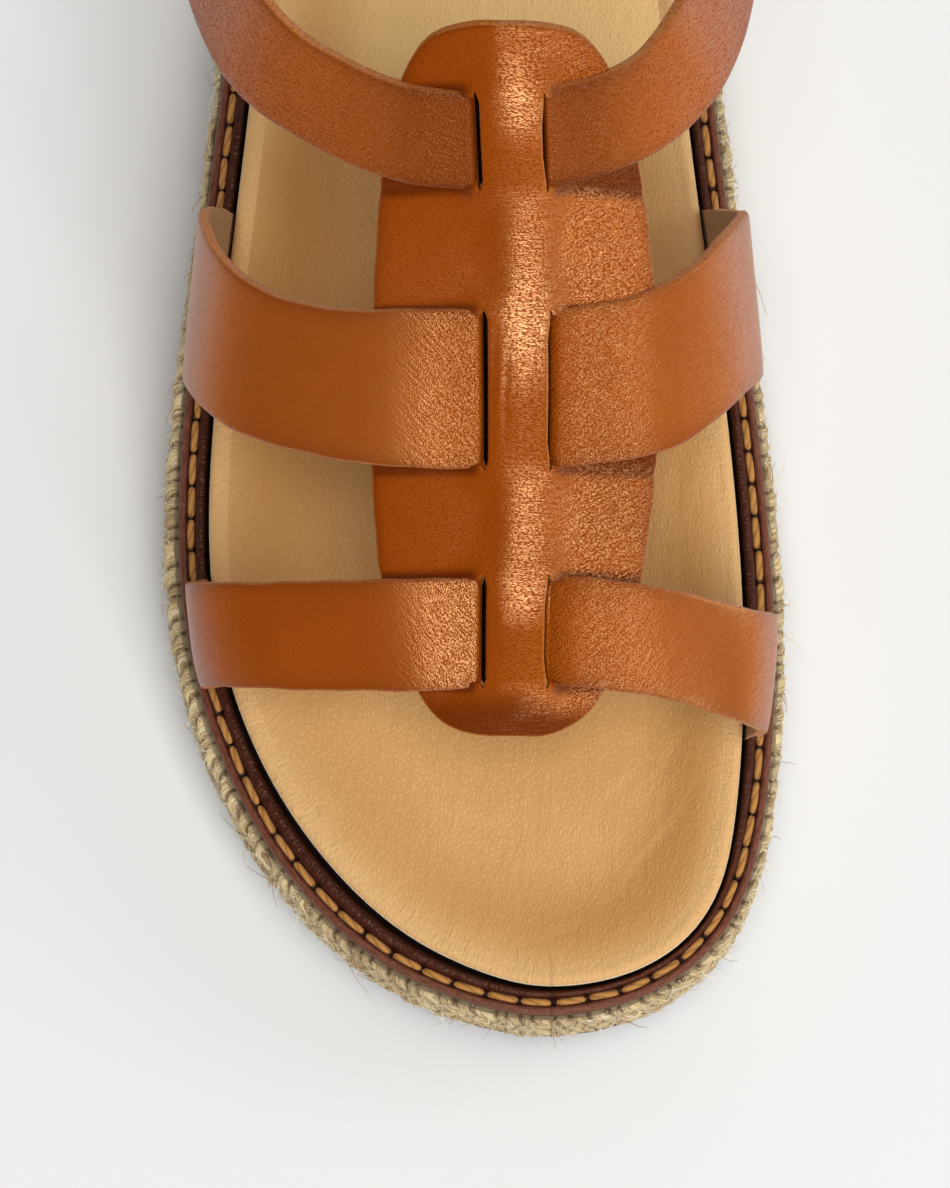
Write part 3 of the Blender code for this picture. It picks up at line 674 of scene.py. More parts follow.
# then the painted shade of the bead, the bed and the holes
welt_color = welt.tinted(welt.tinted(welt_color, lip_tone_and_sheen, WELT_EDGE), welt.attribute("welt_shade"), WELT_SHADE)
welt_bump = welt.bump(welt_pebble, 0.00022, 0.5, welt.bump(welt_long, 0.0003, 0.6))
welt_rough = welt.spread(welt_pebble, 0.1, 0.8, 0.28, 0.45)
make_piece(
    "welt_strip",
    raised(welt_flat, welt_z),
    grid_faces(welt_steps, len(welt_out), True, True),
    welt.finish(Base_Color=welt_color, Roughness=welt_rough, Normal=welt_bump),
    {
        "lip": np.broadcast_to(lip, welt_z.shape),
        "welt_shade": np.clip(in_bed * 0.8 + sunk + 0.9 * inside, 0, 1),
    },
    welt_uv,
    "welt",
)

rng = np.random.default_rng(8)
each_stitch = (stitch_count, 1)
middle = (np.arange(stitch_count) + 0.5) * pitch
half_length = STITCH_LENGTH / 2 * (1 + rng.normal(0, 0.03, each_stitch))
t = np.sin(np.linspace(-np.pi / 2, np.pi / 2, STITCH_RINGS))[None, :]
at = middle[:, None] + rng.normal(0, 0.06, each_stitch) + half_length * t
angle = np.interp(np.mod(at, welt_length), np.append(welt_place, welt_length), np.append(welt_angle, 360))
half_width = STITCH_WIDTH / 2 * (np.maximum(1 - np.abs(t) ** 9, 0.08) ** 0.5)[..., None]
turn = 2 * np.pi * np.arange(STITCH_SIDES) / STITCH_SIDES
skew = rng.normal(0, 0.04, each_stitch) + rng.normal(0, 0.06, each_stitch) * t
out = BED_OUT + skew[..., None] + half_width * np.cos(turn)
flat = sole_outline(out, np.repeat(angle[..., None], STITCH_SIDES, 2))
thread_middle = (BED_HEIGHT + 0.2 - 0.4 * np.abs(t) ** 5)[..., None]
stitch_z = midsole_top(flat[..., 1]) + GAP + thread_middle + STITCH_FLATNESS * half_width * np.sin(turn)

thread = Finish("welt_thread", THREAD, 0.55, Specular_IOR_Level=0.4, Sheen_Weight=0.2)
thread_uv = thread.turned(thread.spot(), 68.0)
ply_inputs = {"Vector": thread_uv, "Scale": 0.24, "Distortion": 3.0, "Detail": 3.0}
ply = thread.add("TexWave", ply_inputs, bands_direction="X")
thread_fibre = thread.noise(thread.turned(thread_uv, scale=(4.0, 0.8, 1.0)), 2.2, 3.0)
# The thread is painted darker between its plies, a painted shade in the twist's grooves.
thread_color = thread.tinted(linear(THREAD_SHADE), thread.spread(ply, 0.0, 0.45, 0.35, 1.0), THREAD)
thread_color = thread.tinted(thread_color, thread.spread(thread_fibre, 0.5, 0.75, 0.0, 0.45), THREAD_PALE)
thread_bump = thread.bump(thread_fibre, 0.0001, 0.8, thread.bump(ply, 0.00012, 0.8))
make_piece(
    "welt_stitches",
    raised(flat, stitch_z),
    tube_faces(stitch_count, STITCH_RINGS, STITCH_SIDES),
    thread.finish(Base_Color=thread_color, Normal=thread_bump),
    uv=np.stack(np.broadcast_arrays(at[..., None], out), -1),
)

# ---- padded footbed ----
# Golden tan leather drawn over a foam footbed and turned under round its edge, so that the edge
# is a soft roll. The leather puckers a little over the roll and creases where the foot bends it.

FOOTBED_THICKNESS = 5.2
FOOTBED_DISH, HEEL_CUP, ARCH_RISE = 1.3, 1.4, 2.2
FOOTBED_ROLL = (
    # outwards from the footbed's edge, height
    (-1.1, 0.0),
    (-0.9, 1.4),
    (-0.72, 2.4),
    (-0.25, 3.1),
    (0.0, 3.9),
    (-0.2, 4.75),
    (-0.75, 5.3),
    (-1.45, 5.45),
    (-2.2, 5.36),
    (-3.0, 5.22),
)
FOOTBED_TAN, FOOTBED_DEEP, FOOTBED_LIT = (232, 180, 116), (210, 152, 84), (255, 212, 144)
VALLEY_SHADE_TAN, ROLL_HIGHLIGHT_TAN, ROLL_SIDE_SHADE = (150, 98, 48), (240, 200, 144), (176, 130, 84)
RIM_HIGHLIGHT, SHADED_TAN = (255, 238, 206), (186, 132, 70)
BED_LENGTH = 640.0  # about the length round the footbed's edge
PUCKER = 0.035
FOOTBED_CREASES = (
    # x, y of the start, x, y of the end, bow, width, depth
    (22.0, -112.0, 33.0, -98.0, 1.0, 0.8, 0.10),
    (26.0, -104.0, 36.5, -90.0, -1.2, 0.9, 0.12),
    (17.0, -100.0, 30.0, -86.0, 1.0, 0.8, 0.08),
    (28.0, -96.0, 37.0, -80.0, 1.4, 1.0, 0.10),
    (5.0, -118.0, 20.0, -113.0, -1.0, 0.9, 0.07),
    (-14.0, -106.0, -2.0, -113.0, 1.0, 1.0, 0.07),
    (-25.0, -95.0, -14.0, -102.0, 1.2, 1.0, 0.07),
    (-8.0, -95.0, 8.0, -98.0, -1.0, 1.2, 0.06),
    (-31.0, -84.0, -25.0, -70.0, 1.0, 1.2, 0.08),
    (33.0, -50.0, 36.0, -30.0, 1.2, 1.2, 0.10),
    (27.0, -14.0, 29.0, 10.0, 1.0, 1.3, 0.10),
    (-30.0, -45.0, -32.0, -25.0, -1.2, 1.2, 0.08),
)


def footbed_height(points):
    """How far the footbed's top lies below its rim: a dish, a heel cup and the swell of the arch."""
    across = points[..., 0] - middle_line(points)[..., 0]
    y = points[..., 1]
    cup = HEEL_CUP * smooth_step(y, 40, 95)
    arch = ARCH_RISE * bell(y, 12, 38) * smooth_step(across, 4, 30)
    return -FOOTBED_DISH - cup + arch


def creased(u, v, creases):
    """The height of soft creases: each a trough along a bowed line with a lower ridge beside it."""
    height = np.zeros(np.broadcast_shapes(np.shape(u), np.shape(v)))
    for start_u, start_v, end_u, end_v, bow, width, depth in creases:
        du, dv = end_u - start_u, end_v - start_v
        length = math.hypot(du, dv)
        t = ((u - start_u) * du + (v - start_v) * dv) / length**2
        held = np.clip(t, 0, 1)
        fade = np.sin(np.pi * held) ** 0.8 * ((t > 0) & (t < 1))
        aside = ((v - start_v) * du - (u - start_u) * dv) / length - bow * 4 * held * (1 - held)
        q = aside / width
        height += depth * fade * (0.55 * bell(q, 1.7, 1.2) - np.exp(-(q**2)))
    return height


bed_steps = 720
turn = np.arange(bed_steps) * 360.0 / bed_steps
around = np.ones(bed_steps)
roll_out, roll_height = profile_columns(FOOTBED_ROLL)
roll_length = running_length(np.stack([roll_out, roll_height], 1))
fine = np.linspace(0, roll_length[-1], 26)
roll_out, roll_height = (open_spline(roll_length, values, fine) for values in (roll_out, roll_height))
edge_flat = outline(roll_out[None, :] * around[:, None], np.repeat(turn[:, None], len(fine), 1))
share = 1 - 0.96 * np.linspace(0, 1, 96)[1:] ** 1.1
inner_edge = np.repeat(edge_flat[:, -1][:, None], len(share), 1)
top_flat = shrunk(inner_edge, np.broadcast_to(share, (bed_steps, len(share))))
depth = smooth_step(1 - share, 0.01, 0.34)[None, :]
top_z = midsole_top(top_flat[..., 1]) + GAP + FOOTBED_THICKNESS + depth * footbed_height(top_flat)
top_z += creased(top_flat[..., 0], top_flat[..., 1], FOOTBED_CREASES)
turn_length = turn / 360 * BED_LENGTH
pucker = PUCKER * wandering(turn_length, 31, (3.1, 4.3, 6.7, 11), BED_LENGTH)[:, None]
edge_z = midsole_top(edge_flat[..., 1]) + GAP + roll_height + pucker * bell(roll_height, 4.8, 0.9)
bottom = shrunk(outline(FOOTBED_ROLL[0][0] * around, turn), 0.05 * around)
bottom_ring = raised(bottom, midsole_top(bottom[:, 1]) + GAP)[:, None]
bed_grid = np.concatenate([bottom_ring, raised(edge_flat, edge_z), raised(top_flat, top_z)], 1)
bed_points = bed_grid.transpose(1, 0, 2)
bed_rings = len(bed_points)
top_from = len(fine) + 1

side, near_edge, painted_shade_and_light = np.zeros((3, bed_rings, bed_steps))
# side darkens the roll's side and its bottom, a painted shade.
side[:top_from] = np.append(1.0, 1 - smooth_step(roll_height, 3.4, 4.4))[:, None]
# near_edge lays a painted highlight on the roll, brightest in a line along its rim.
near_edge[:top_from] = np.append(0.0, 1 + 0.7 * bell(roll_height, 4.15, 0.35))[:, None]
near_edge[top_from:] = np.exp(-(1 - share) / 0.06)[:, None]
inwards = (1 - share)[:, None]
from_toe = np.mod(turn + 140, 360) - 140
# Painted shade inside the rim round the toe and on the little-toe side between the straps; painted light
# towards the heel, where the values are negative.
painted_shade_and_light[top_from:] = bell(inwards, 0.13, 0.13) * bell(from_toe, 30, 50)[None, :]
painted_shade_and_light[top_from:] += 1.2 * bell(inwards, 0.2, 0.25) * bell(turn, 262, 42)[None, :]
painted_shade_and_light[top_from:] -= 1.2 * smooth_step(top_flat[..., 1].T, 8.0, 40.0)
ring_steps = np.linalg.norm(np.diff(bed_points, axis=0), axis=2).mean(1)
ring_length = np.append(0.0, np.cumsum(ring_steps))
bed_uv = np.stack(np.broadcast_arrays(turn_length[None, :], ring_length[:, None]), -1)

bed_sockets = {"Specular_IOR_Level": 0.32, "Specular_Tint": (1.0, 0.8, 0.52, 1.0)}
lining = Finish("footbed_leather", FOOTBED_TAN, 0.45, **bed_sockets)
lining_place = lining.place()
lining_laid = lining.turned(lining.bent(lining_place, 0.0006, 900.0), 24.0, (1500.0, 850.0, 1100.0))
lining_pebble = lining.spread(lining.cells(lining_laid, 1.0, "DISTANCE_TO_EDGE"), 0.0, 0.4)
lining_fine = lining.noise(lining_place, 2600.0, 2.0)
puckers = lining.noise(lining.turned(lining.spot(), scale=(1.5, 0.22, 1.0)), 1.0, 3.0, 0.6)
wrinkle = lining.noise(lining.turned(lining_place, 28.0, (420.0, 130.0, 200.0)), 1.0, 4.0, 0.6)
cloud = lining.noise(lining_place, 22.0, 4.0, 0.6)
edge_share, light_and_shade_share = lining.attribute("near_edge"), lining.attribute("painted_shade_and_light")
bed_color = linear(FOOTBED_TAN)
for share, tint in (
    (lining.spread(cloud, 0.35, 0.7, 0.0, 0.5), FOOTBED_DEEP),
    # the grain's valleys a little darker, a painted shade
    (lining.spread(lining_pebble, 0.0, 0.6, 0.16, 0.0), VALLEY_SHADE_TAN),
    # painted highlight along the roll and its rim
    (lining.times(edge_share, 0.35), ROLL_HIGHLIGHT_TAN),
    # painted shade on the roll's side
    (lining.times(lining.attribute("side"), 0.5), ROLL_SIDE_SHADE),
    (lining.spread(edge_share, 1.1, 1.6, 0.0, 0.9), RIM_HIGHLIGHT),
    # painted shade, and painted light where the shade is negative
    (lining.times(light_and_shade_share, 0.75, clamp=True), SHADED_TAN),
    (lining.spread(light_and_shade_share, -1.0, 0.0, 1.0, 0.0), FOOTBED_LIT),
):
    bed_color = lining.tinted(bed_color, share, tint)
bed_bump = lining.bump(wrinkle, 0.0005, 0.7, lining.bump(lining_pebble, 0.0001, 0.8))
bed_bump = lining.bump(lining_fine, 0.00006, 0.5, bed_bump)
bed_bump = lining.bump(lining.times(puckers, edge_share), 0.0005, 0.5, bed_bump)
bed_rough = lining.spread(lining_fine, 0.3, 0.7, 0.42, 0.6)
footbed = make_piece(
    "padded_footbed",
    bed_points,
    stacked_faces(bed_rings, bed_steps),
    lining.finish(Base_Color=bed_color, Roughness=bed_rough, Normal=bed_bump),
    {"side": side, "near_edge": near_edge, "painted_shade_and_light": painted_shade_and_light},
    bed_uv,
    "insole",
)

# ---- instep plate ----
# One oval of cognac leather, 2 mm thick, along the instep. Two slits beside each strap free a
# strip of it, which bridges over the strap. A soft ridge runs along it, stretched over the last.

LEATHER = 2.0
FEATHER = 0.45
BED_IN = 0.6
ARRIS = 0.38
LAST_SECTIONS = (
    # y, crest x, crest over the footbed, little-toe side swell, big-toe side swell
    (-100, 6.2, 13.0, 6.0, 6.0),
    (-87, 6.2, 20.5, 8.0, 8.0),
    (-73, 6.3, 27.5, 10.0, 10.0),
    (-55, 6.5, 34.5, 11.0, 10.5),
    (-36, 6.7, 42.0, 11.5, 10.3),
    (-18, 6.4, 50.5, 11.4, 10.3),
    (-2, 5.7, 61.5, 11.0, 10.5),
    (15, 4.8, 74.5, 12.0, 12.0),
    (35, 4.0, 89.0, 13.0, 13.0),
)
TOE_BAND, BALL_BAND, ANKLE_BAND = (-79.3, -63.1), (-46.8, -23.4), (-6.1, 6.7)
BANDS = (TOE_BAND, BALL_BAND, ANKLE_BAND)
STRIP_HUMPS = (0.9, 1.3, 0.8)
PLATE_FRONT, PLATE_BACK = -86.8, 15.0
PLATE_HALF = 22.9
FRONT_POINT, BACK_POINT = 0.31, 0.21
PLATE_OFF_CREST = ((-60.0, -0.6), (10.0, 0.3))
BRIDGE_HALF, BRIDGE_CROWN, BRIDGE_WAIST, LEFT_WAIST = 4.9, 0.35, 0.45, 0.5
RIDGE_HEIGHT, RIDGE_HALF, RIDGE_OFF = 1.2, 5.2, 1.5
FLARE_REACH, FLARE_SPREAD = 5.0, 3.0
RIM_CROWN, RIM_WAVER = 0.18, 0.07  # how far the rim is rounded down, and how far the cut wavers
SLIT_DIP, SLIT_HALF = 0.35, 0.3  # how far the wings are pressed down beside a strap, and half a slit
CROWN_HALF, TIGHT_BELOW = 6.2, 9.0  # a strip's crown, and the half width below which it narrows
INNER_INSET = 0.15  # how far in from the cut edge an inner face ends
CUT_STEPS = (0.55, 0.3, 0.12)  # heights of the loops down a cut edge, as shares of the thickness
PLATE_CREASES = (
    # arc, y of the start, arc, y of the end, bow, width, depth
    (-1.6, -44.0, -1.2, -27.0, 0.4, 0.5, 0.10),
    (1.0, -41.0, 0.7, -25.0, -0.4, 0.45, 0.09),
    (2.9, -45.0, 2.6, -30.0, 0.3, 0.5, 0.08),
    (-3.2, -36.0, -3.0, -24.0, 0.3, 0.5, 0.07),
    (-3.0, -52.5, 6.0, -51.5, 0.5, 0.6, 0.08),
    (-1.0, -57.0, 8.0, -55.5, 0.5, 0.6, 0.07),
    (-4.0, -49.0, 4.0, -48.6, 0.2, 0.5, 0.09),
    (-5.0, -18.0, 4.0, -17.0, 0.4, 0.7, 0.06),
    (-2.0, -12.5, 6.0, -12.0, 0.4, 0.6, 0.07),
    (-7.0, 9.5, 3.0, 11.6, 0.7, 0.7, 0.10),
    (2.0, 10.5, 13.0, 9.0, 0.6, 0.7, 0.09),
    (-14.0, 9.0, -8.0, 10.8, 0.5, 0.7, 0.07),
    (9.0, -58.0, 14.0, -52.0, 0.6, 0.6, 0.06),
    (12.0, -60.0, 18.0, -54.5, 0.6, 0.6, 0.06),
    (10.0, -16.0, 15.0, -10.0, 0.6, 0.6, 0.06),
    (13.0, -20.0, 19.0, -14.0, 0.6, 0.7, 0.06),
    (-12.0, -84.0, 0.0, -85.2, -0.5, 0.8, 0.08),
)
COGNAC, COGNAC_DEEP, COGNAC_LIGHT = (178, 88, 13), (160, 73, 9), (192, 100, 22)
VALLEY_SHADE_BROWN, PAINTED_SHADE_BROWN, EDGE_AND_SHADE_BROWN, SLIT_SHADE = (112, 44, 6), (132, 54, 5), (104, 40, 4), (34, 12, 4)
CUT_DARK, CUT_EDGE, FLESH_DARK, FLESH_SIDE = (150, 74, 22), (206, 132, 66), (138, 98, 50), (168, 126, 72)


def edge_at(y):
    """x of a strap's foot on the little-toe side and on the big-toe side at y."""
    turn = np.linspace(2, 178, 353)
    medial, lateral = outline(FEATHER, turn), outline(FEATHER, 360 - turn)
    return np.interp(y, lateral[:, 1], lateral[:, 0]), np.interp(y, medial[:, 1], medial[:, 0])


def last_point(y, angle):
    """A point of the foot's form: an arch from the little-toe edge over the crest to the big-toe edge.

    Across, it runs as the cosine of the angle and swells outwards by the squared sine of twice the
    angle, so that it starts upright beside the footbed. Upwards it runs as the sine.
    """
    y, angle = np.broadcast_arrays(np.asarray(y, float), np.asarray(angle, float))
    turn = np.radians(angle)
    lateral, medial = edge_at(y)
    crest_x, crest, swell_lateral, swell_medial = (read_along(LAST_SECTIONS, i, y) for i in (1, 2, 3, 4))
    half = np.where(turn < np.pi / 2, crest_x - lateral, medial - crest_x)
    swell = np.where(turn < np.pi / 2, -swell_lateral, swell_medial)
    x = crest_x - half * np.cos(turn) + swell * np.sin(2 * turn) ** 2
    low = midsole_top(y) + 2 * GAP
    high = midsole_top(y) + GAP + FOOTBED_THICKNESS + crest
    return np.stack([x, y, low + (high - low) * np.sin(turn)], -1)


def last_normal(y, angle):
    """The outward unit normal of the foot's form."""
    sideways = last_point(y, angle + 0.7) - last_point(y, angle - 0.7)
    along = last_point(y + 0.7, angle) - last_point(y - 0.7, angle)
    return unit(np.cross(sideways, along))


SECTION_FROM, SECTION_TO = -105, 50  # y of the first and last section of the table, 1 mm apart
HALF_DEGREES = 360  # steps of half a degree along a section
section_y = np.linspace(SECTION_FROM, SECTION_TO, SECTION_TO - SECTION_FROM + 1)
sections = last_point(section_y[:, None], np.linspace(0, 180, HALF_DEGREES + 1)[None, :])
section_steps = np.linalg.norm(np.diff(sections, axis=1, prepend=sections[:, :1]), axis=2)
section_arc = np.cumsum(section_steps, 1)
section_arc -= section_arc[:, HALF_DEGREES // 2][:, None]


def arc_at_angle(y, angle):
    """The signed length along a section from its crest to an angle, read from a table of both."""
    row = np.clip(np.asarray(y, float) - SECTION_FROM, 0, SECTION_TO - SECTION_FROM - 0.001)
    place = np.clip(np.asarray(angle, float) * 2, 0, HALF_DEGREES - 0.001)
    row, place = np.broadcast_arrays(row, place)
    i, j = row.astype(int), place.astype(int)
    a, b = row - i, place - j
    first = section_arc[i, j] * (1 - b) + section_arc[i, j + 1] * b
    second = section_arc[i + 1, j] * (1 - b) + section_arc[i + 1, j + 1] * b
    return first * (1 - a) + second * a


def halved(low, high, is_short, rounds=34):
    """Where is_short turns false between low and high, by halving the range again and again."""
    for _ in range(rounds):
        middle = (low + high) / 2
        short = is_short(middle)
        low, high = np.where(short, middle, low), np.where(short, high, middle)
    return (low + high) / 2


def angle_at_arc(y, arc):
    """The angle at which a section's length from its crest is arc, found by halving."""
    y, arc = np.broadcast_arrays(np.asarray(y, float), np.asarray(arc, float))
    start = np.full(arc.shape, 8.0)
    return halved(start, 180 - start, lambda angle: arc_at_angle(y, angle) < arc)


def plate_half(y):
    """Half the plate's width at y: a blunt-ended oval."""
    place = (2 * y - PLATE_FRONT - PLATE_BACK) / (PLATE_BACK - PLATE_FRONT)
    return PLATE_HALF * np.maximum(1 - place**2, 0.0) ** np.where(place < 0, FRONT_POINT, BACK_POINT)


def plate_offset(y):
    """How far the plate's middle lies off the crest, towards the big toe's side."""
    return np.interp(y, column(PLATE_OFF_CREST, 0), column(PLATE_OFF_CREST, 1))


def strap_below(y, before=1.2, after=0.2):
    """1 where a strap passes below the plate's strip, 0 away from the straps."""
    share = np.zeros(np.shape(y))
    for front, back in BANDS:
        begun = smooth_step(y, front - before, front + after)
        share = np.maximum(share, begun * (1 - smooth_step(y, back - after, back + before)))
    return share


def strip_hump(y):
    """The long arch of a strip over its strap, which makes its rear half flatter than its front."""
    hump = np.zeros(np.shape(y))
    for (front, back), height in zip(BANDS, STRIP_HUMPS):
        hump += height * np.sin(np.pi * np.clip((y - front + 1.5) / (back - front + 4.0), 0, 1)) ** 1.5
    return hump


def ridge_height(y, arc):
    """The soft ridge: a bell across the plate, faded out at the plate's two ends."""
    from_end = np.minimum(y - PLATE_FRONT, PLATE_BACK - y)
    across = np.exp(-(np.abs((arc - RIDGE_OFF) / RIDGE_HALF) ** 2.8))
    return RIDGE_HEIGHT * across * smooth_step(from_end, 2, 12)


plate_rows = 380
dense = -np.cos(np.linspace(0, np.pi, 6001))
dense_y = (PLATE_FRONT + PLATE_BACK) / 2 + dense * (PLATE_BACK - PLATE_FRONT) / 2
dense_length = running_length(np.stack([dense_y, plate_half(dense_y)], 1))
row_y = np.interp(np.linspace(0, dense_length[-1], plate_rows), dense_length, dense_y)
row_y[0], row_y[-1] = PLATE_FRONT, PLATE_BACK
half = plate_half(row_y)
tight = np.minimum(1.0, half / TIGHT_BELOW)
shift = plate_offset(row_y) * tight
left_line, right_line = np.stack([shift - half, row_y], -1), np.stack([shift + half, row_y], -1)
rim = np.concatenate([left_line, right_line[-2:0:-1]])
rim_ahead = unit(np.roll(rim, -1, 0) - np.roll(rim, 1, 0))
rim_normal = np.stack([-rim_ahead[:, 1], rim_ahead[:, 0]], -1)
rim_normal *= np.sign((rim_normal * (rim - [0, rim[:, 1].mean()])).sum(1).mean())
rim_wave = RIM_WAVER * wandering(np.arange(len(rim)), 77, (25, 41, 90), len(rim))
rim = rim + rim_normal * rim_wave[:, None]


def inset_rim(inset):
    """The plate's outline in arc and y, moved inwards, and its left and right sides row by row."""
    line = rim - inset * rim_normal
    right = np.concatenate([line[:1], line[: plate_rows - 2 : -1], line[plate_rows - 1 : plate_rows]])
    return line, line[:plate_rows], right[:plate_rows]


bent = np.radians([0, 30, 60, 80, 90])
near_slit = -1 + ARRIS / BRIDGE_HALF * (1 - np.sin(bent[3::-1]))
strip_columns = np.concatenate([[-1], near_slit, np.linspace(-0.86, 0.86, 21)])
strip_columns = np.unique(np.round(np.concatenate([strip_columns, -strip_columns]), 6))
wing_columns = np.linspace(0, 1, 27)
wing = len(wing_columns)
opened = strap_below(row_y, 0.35, 0.15)
is_open = opened > 1e-4
pressed = strap_below(row_y, -0.2, 1.2)
dipped = SLIT_DIP * strap_below(row_y, 2.4, 0.2)


def plate_sheet(inset, thick, extra):
    """The three panels of one face of the plate, as points and what they carry, row by row.

    A strip lifts over its strap and crowns across. Beyond the slits' ends it draws the leather
    beside it up too, so that the plate flares into the strip. extra is 1 on the outer face, which
    is rounded at its rims and creased, and 0 on the inner face.
    """
    _, left, right = inset_rim(inset)
    left_arc, right_arc = left[:, :1], right[:, :1]
    half_strip = (BRIDGE_HALF * tight)[:, None]
    waist = BRIDGE_WAIST * strap_below(row_y, 0.0, 5.0)[:, None]
    left_waist = LEFT_WAIST * strap_below(row_y, 0.3, 1.3)[:, None] * tight[:, None]
    place = strip_columns[None, :]
    strip = place * half_strip - waist * np.clip(place, 0, 1) - left_waist * np.clip(place, -1, 0)
    slit_half = SLIT_HALF * opened[:, None]
    slit_left, slit_right = -half_strip - slit_half, half_strip - waist + slit_half
    left_wing = left_arc + (slit_left - left_arc) * wing_columns
    right_wing = slit_right + (right_arc - slit_right) * wing_columns
    arc = np.concatenate([left_wing, strip, right_wing], 1)
    share = np.clip((arc - left_arc) / np.maximum(right_arc - left_arc, 1e-9), 0, 1)
    y = left[:, 1:] + (right[:, 1:] - left[:, 1:]) * share
    in_strip = np.zeros(arc.shape, bool)
    in_strip[:, wing:-wing] = True
    reach = strap_below(row_y, FLARE_REACH, 1.0)[:, None]

    def strip_lift(arc):
        """The strip's height: the ridge away from a strap; over it, a crown across and a hump along."""
        crown = LEATHER - BED_IN + BRIDGE_CROWN * (1 - ((arc - RIDGE_OFF) / CROWN_HALF) ** 2)
        hump = strip_hump(row_y)[:, None] * (1 - 0.35 * (arc / BRIDGE_HALF) ** 2)
        return ridge_height(y, arc) * (1 - reach) + crown * reach + hump

    nearest = np.clip(arc, -half_strip, half_strip)
    beyond = arc - nearest
    low = ridge_height(y, arc) * (1 - reach) - dipped[:, None] * smooth_step(np.abs(beyond), 1.0, 4.0)
    drawn_up = strip_lift(nearest) - ridge_height(y, nearest) * (1 - reach)
    wing_lift = (low + drawn_up * bell(beyond, 0, FLARE_SPREAD)) * (1 - pressed[:, None])
    lift = np.where(in_strip, strip_lift(arc), wing_lift)
    from_slit = np.minimum(arc - slit_left - left_waist, slit_right - arc) - slit_half
    t = np.clip(1 - from_slit / ARRIS, 0, 1)
    drop = np.where(in_strip, ARRIS * (1 - np.sqrt(np.maximum(1 - t**2, 0))), 0.0) * opened[:, None]
    from_rim = np.minimum(arc - left_arc, right_arc - arc)
    crown = RIM_CROWN * np.exp(-np.maximum(from_rim, 0)) * (1 - opened[:, None])
    height = lift + thick - (drop + crown) * extra + extra * creased(arc, y, PLATE_CREASES)
    angle = angle_at_arc(y, arc)
    points = last_point(y, angle) + height[..., None] * last_normal(y, angle)
    cut = in_strip * opened[:, None] * (arc > 0) * (1 - smooth_step(from_slit, 0.1, 0.4)) * (extra > 0)
    return points, arc, y, from_rim, cut


def plate_loop(inset, thick, drop):
    """One loop of points round the plate's rim, with its arc and y."""
    line = inset_rim(inset)[0]
    arc, y = line[:, 0], line[:, 1]
    lift = (ridge_height(y, arc) - np.interp(y, row_y, dipped)) * (1 - np.interp(y, row_y, pressed))
    crown = RIM_CROWN * (1 - np.interp(y, row_y, opened)) * (thick > 0)
    angle = angle_at_arc(y, arc)
    height = lift + thick - drop - crown
    return last_point(y, angle) + height[:, None] * last_normal(y, angle), arc, y


outer_face, face_arc, face_y, from_rim, face_cut = plate_sheet(ARRIS, LEATHER, 1.0)
inner_face, inner_arc, inner_y, *_ = plate_sheet(INNER_INSET, 0.0, 0.0)
loops = [plate_loop(ARRIS * (1 - math.sin(a)), LEATHER, ARRIS * (1 - math.cos(a))) for a in bent[1:]]
loops += [plate_loop(0.0, LEATHER * part, 0.0) for part in CUT_STEPS]
LOOP_RAWNESS = (0.3, 0.75, 0.95, 1.0, 1.0, 1.0, 1.0)
columns = face_arc.shape[1]
count = plate_rows * columns
index = np.arange(count).reshape(plate_rows, columns)
index[0], index[-1] = index[0, 0], index[-1, 0]
slit_sides = ((wing, wing - 1), (columns - wing - 1, columns - wing))  # columns inside, outside
for pair in slit_sides:
    lower, higher = sorted(pair)
    index[~is_open, higher] = index[~is_open, lower]


def panel_faces(start, stop):
    """Quads of the columns from start to stop; at the plate's ends they are triangles."""
    part = index[:, start:stop]
    return np.stack([part[:-1, :-1], part[:-1, 1:], part[1:, 1:], part[1:, :-1]], -1).reshape(-1, 4)


faces = []
for start, stop in ((0, wing), (wing, columns - wing), (columns - wing, columns)):
    panel = panel_faces(start, stop)
    faces += [panel, (panel + count)[:, ::-1]]
touched = is_open[:-1] | is_open[1:]
for inner, outer in slit_sides:
    for side_column, flip in ((inner, False), (outer, True)):
        low, high = index[:-1, side_column][touched], index[1:, side_column][touched]
        wall = np.stack([low, high, high + count, low + count], -1)
        faces.append(wall[:, ::-1] if flip == (side_column < columns / 2) else wall)
rim_index = np.concatenate([index[:, 0], index[-2:0:-1, -1]])
loop_count = len(rim_index)
loop_index = [2 * count + k * loop_count + np.arange(loop_count) for k in range(len(loops))]
stack = [rim_index, *loop_index, rim_index + count]
for low, high in zip(stack[:-1], stack[1:]):
    faces.append(np.stack([low, np.roll(low, -1), np.roll(high, -1), high], -1))
faces = np.concatenate(faces)
points = np.concatenate([outer_face.reshape(-1, 3), inner_face.reshape(-1, 3)] + [loop[0] for loop in loops])


def on_plate(outer, inner, around):
    """A number for each point: of the outer face, of the inner face and of the rim's loops."""
    flat = [np.broadcast_to(part, index.shape).ravel() for part in (outer, inner)]
    return np.concatenate(flat + [np.broadcast_to(part, loop_count) for part in around])


on_loops = np.ones(len(loops))
plate_arc = on_plate(face_arc, inner_arc, [loop[1] for loop in loops])
plate_y = on_plate(face_y, inner_y, [loop[2] for loop in loops])
# Painted contact shadows on the plate beside each strap's edges and painted shade over the plate's tip, both
# carried by the rim attribute along with its darker cut edge.
by_strap = strap_below(face_y, 1.7, -0.2) * smooth_step(np.abs(face_arc), 5.0, 7.0)
tip_shade = 1 - smooth_step(face_y + 0.25 * np.maximum(face_arc, 0), PLATE_FRONT + 3.0, TOE_BAND[0] + 1.0)
face_rim = np.maximum(np.exp(-from_rim / 1.1) * 0.7, np.maximum(by_strap * 1.7, tip_shade * 1.5))

